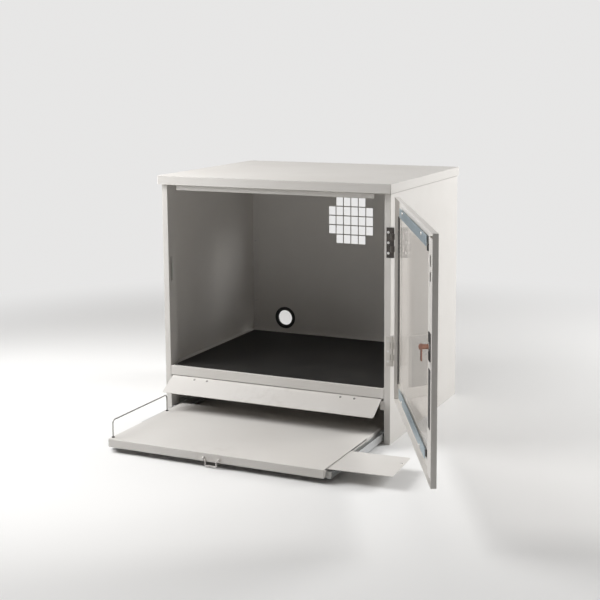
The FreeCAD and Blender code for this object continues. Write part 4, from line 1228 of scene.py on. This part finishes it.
@dataclass(frozen=True)
class StudioFloor(Finish):
    """Pale seamless floor that melts into the backdrop's tone away from the cabinet."""

    colour: Colour = (0.880, 0.878, 0.872)
    worn: Colour = (0.850, 0.848, 0.842)
    far: Colour = (0.800, 0.795, 0.790)
    near_radius: float = 1.0
    far_radius: float = 2.1
    clouds: ClassVar[Grain] = Grain(1.2)

    def dress(self, graph: Graph) -> None:
        """Fill the material's tree."""
        where = graph.place()
        tone = graph.blend(graph.noise(where, self.clouds), rgba(self.colour), rgba(self.worn))
        paper = graph.node("ShaderNodeBsdfDiffuse", {}, {"Color": tone})
        glow = graph.node("ShaderNodeEmission", {}, {"Color": rgba(self.far), "Strength": 1.0})
        away = graph.step(graph.distance(where, (0, 0, 0)), self.near_radius, self.far_radius)
        share = away * graph.seen()
        graph.surface(graph.node("ShaderNodeMixShader", {}, {0: share, 1: paper, 2: glow}))


@dataclass
class Studio:
    """Floor, backdrop light, soft boxes and the camera."""

    camera_at: Triple = (1.3387, -2.9514, 0.9206)
    azimuth: float = 25.07
    elevation: float = 8.10
    roll: float = -0.38
    lens: float = 73.48
    shift: float = -0.1042
    sensor: float = 36.0
    sight: float = 200.0
    backdrop: Colour = (0.800, 0.795, 0.790)
    sky: Colour = (1.0, 0.975, 0.945)
    sky_way: Triple = (-0.254, -0.051, 0.966)
    sky_even: float = 0.02
    sky_lean: float = 0.55
    sky_power: int = 3
    floor_radius: float = 40.0
    floor_sides: int = 96
    floor: StudioFloor = field(default_factory=lambda: StudioFloor("studio_floor"))
    lamps: tuple[Lamp, ...] = (
        Lamp("left_box", (-1.08, -0.78, 1.21), (-0.25, -0.4, 0.2), 1.05, 26.5),
        Lamp("right_rear_box", (2.3, 1.4, 1.5), (0.2, 0.0, 0.35), 1.4, 68.0),
    )

    def build(self) -> None:
        """Set the whole studio up."""
        bpy.context.scene.view_settings.view_transform = "Standard"
        self.lay_floor()
        for lamp in self.lamps:
            lamp.build()
        self.light_world()
        self.place_camera()

    def lay_floor(self) -> None:
        """Lay the floor."""
        mesh = bmesh.new()
        bmesh.ops.create_circle(mesh, cap_ends=True, segments=self.floor_sides, radius=self.floor_radius)
        data = bpy.data.meshes.new("studio_floor")
        mesh.to_mesh(data)
        mesh.free()
        data.materials.append(self.floor.material())
        sheet = bpy.data.objects.new("studio_floor", data)
        bpy.context.scene.collection.objects.link(sheet)

    def light_world(self) -> None:
        """Backdrop tone for the camera and a soft overhead sky for the light."""
        world = bpy.data.worlds.new("studio")
        bpy.context.scene.world = world
        graph = Graph(world)
        way = graph.node("ShaderNodeTexCoord", output="Generated")
        dot = {"operation": "DOT_PRODUCT"}
        lean = graph.node("ShaderNodeVectorMath", dot, {0: way, 1: self.sky_way}, "Value")
        level = self.sky_even + lean.most(0.0) ** self.sky_power * self.sky_lean
        sky = graph.node("ShaderNodeBackground", {}, {"Color": rgba(self.sky), "Strength": level})
        back = graph.node("ShaderNodeBackground", {}, {"Color": rgba(self.backdrop), "Strength": 1.0})
        mixed = graph.node("ShaderNodeMixShader", {}, {0: graph.seen(), 1: sky, 2: back})
        graph.surface(mixed, "ShaderNodeOutputWorld")

    def place_camera(self) -> None:
        """Put the camera where the photograph was taken from."""
        turn = math.radians(self.azimuth)
        tilt = math.radians(self.elevation)
        roll = math.radians(self.roll)
        flat = math.cos(tilt)
        back = Vector((math.sin(turn) * flat, -math.cos(turn) * flat, math.sin(tilt)))
        right = (-back).cross(UP).normalized()
        up = right.cross(-back)
        across = right * math.cos(roll) + up * math.sin(roll)
        upward = up * math.cos(roll) - right * math.sin(roll)
        data = bpy.data.cameras.new("photo_camera")
        data.lens = self.lens
        data.sensor_width = self.sensor
        data.shift_y = self.shift
        data.clip_end = self.sight
        camera = bpy.data.objects.new("photo_camera", data)
        axes = Matrix((across, upward, back)).transposed().to_4x4()
        camera.matrix_world = Matrix.Translation(Vector(self.camera_at)) @ axes
        bpy.context.scene.collection.objects.link(camera)
        bpy.context.scene.camera = camera


def main() -> None:
    """Build every sub-assembly, then the studio."""
    logging.basicConfig(level=logging.INFO, format="%(name)s: %(message)s")
    for assembly in (Carcass(), Door(), Lock(), Flap(), Slides(), Tray(), SideShelf(), Studio()):
        assembly.build()
        LOG.info("%s done", type(assembly).__name__)


if __name__ == "__main__":
    main()
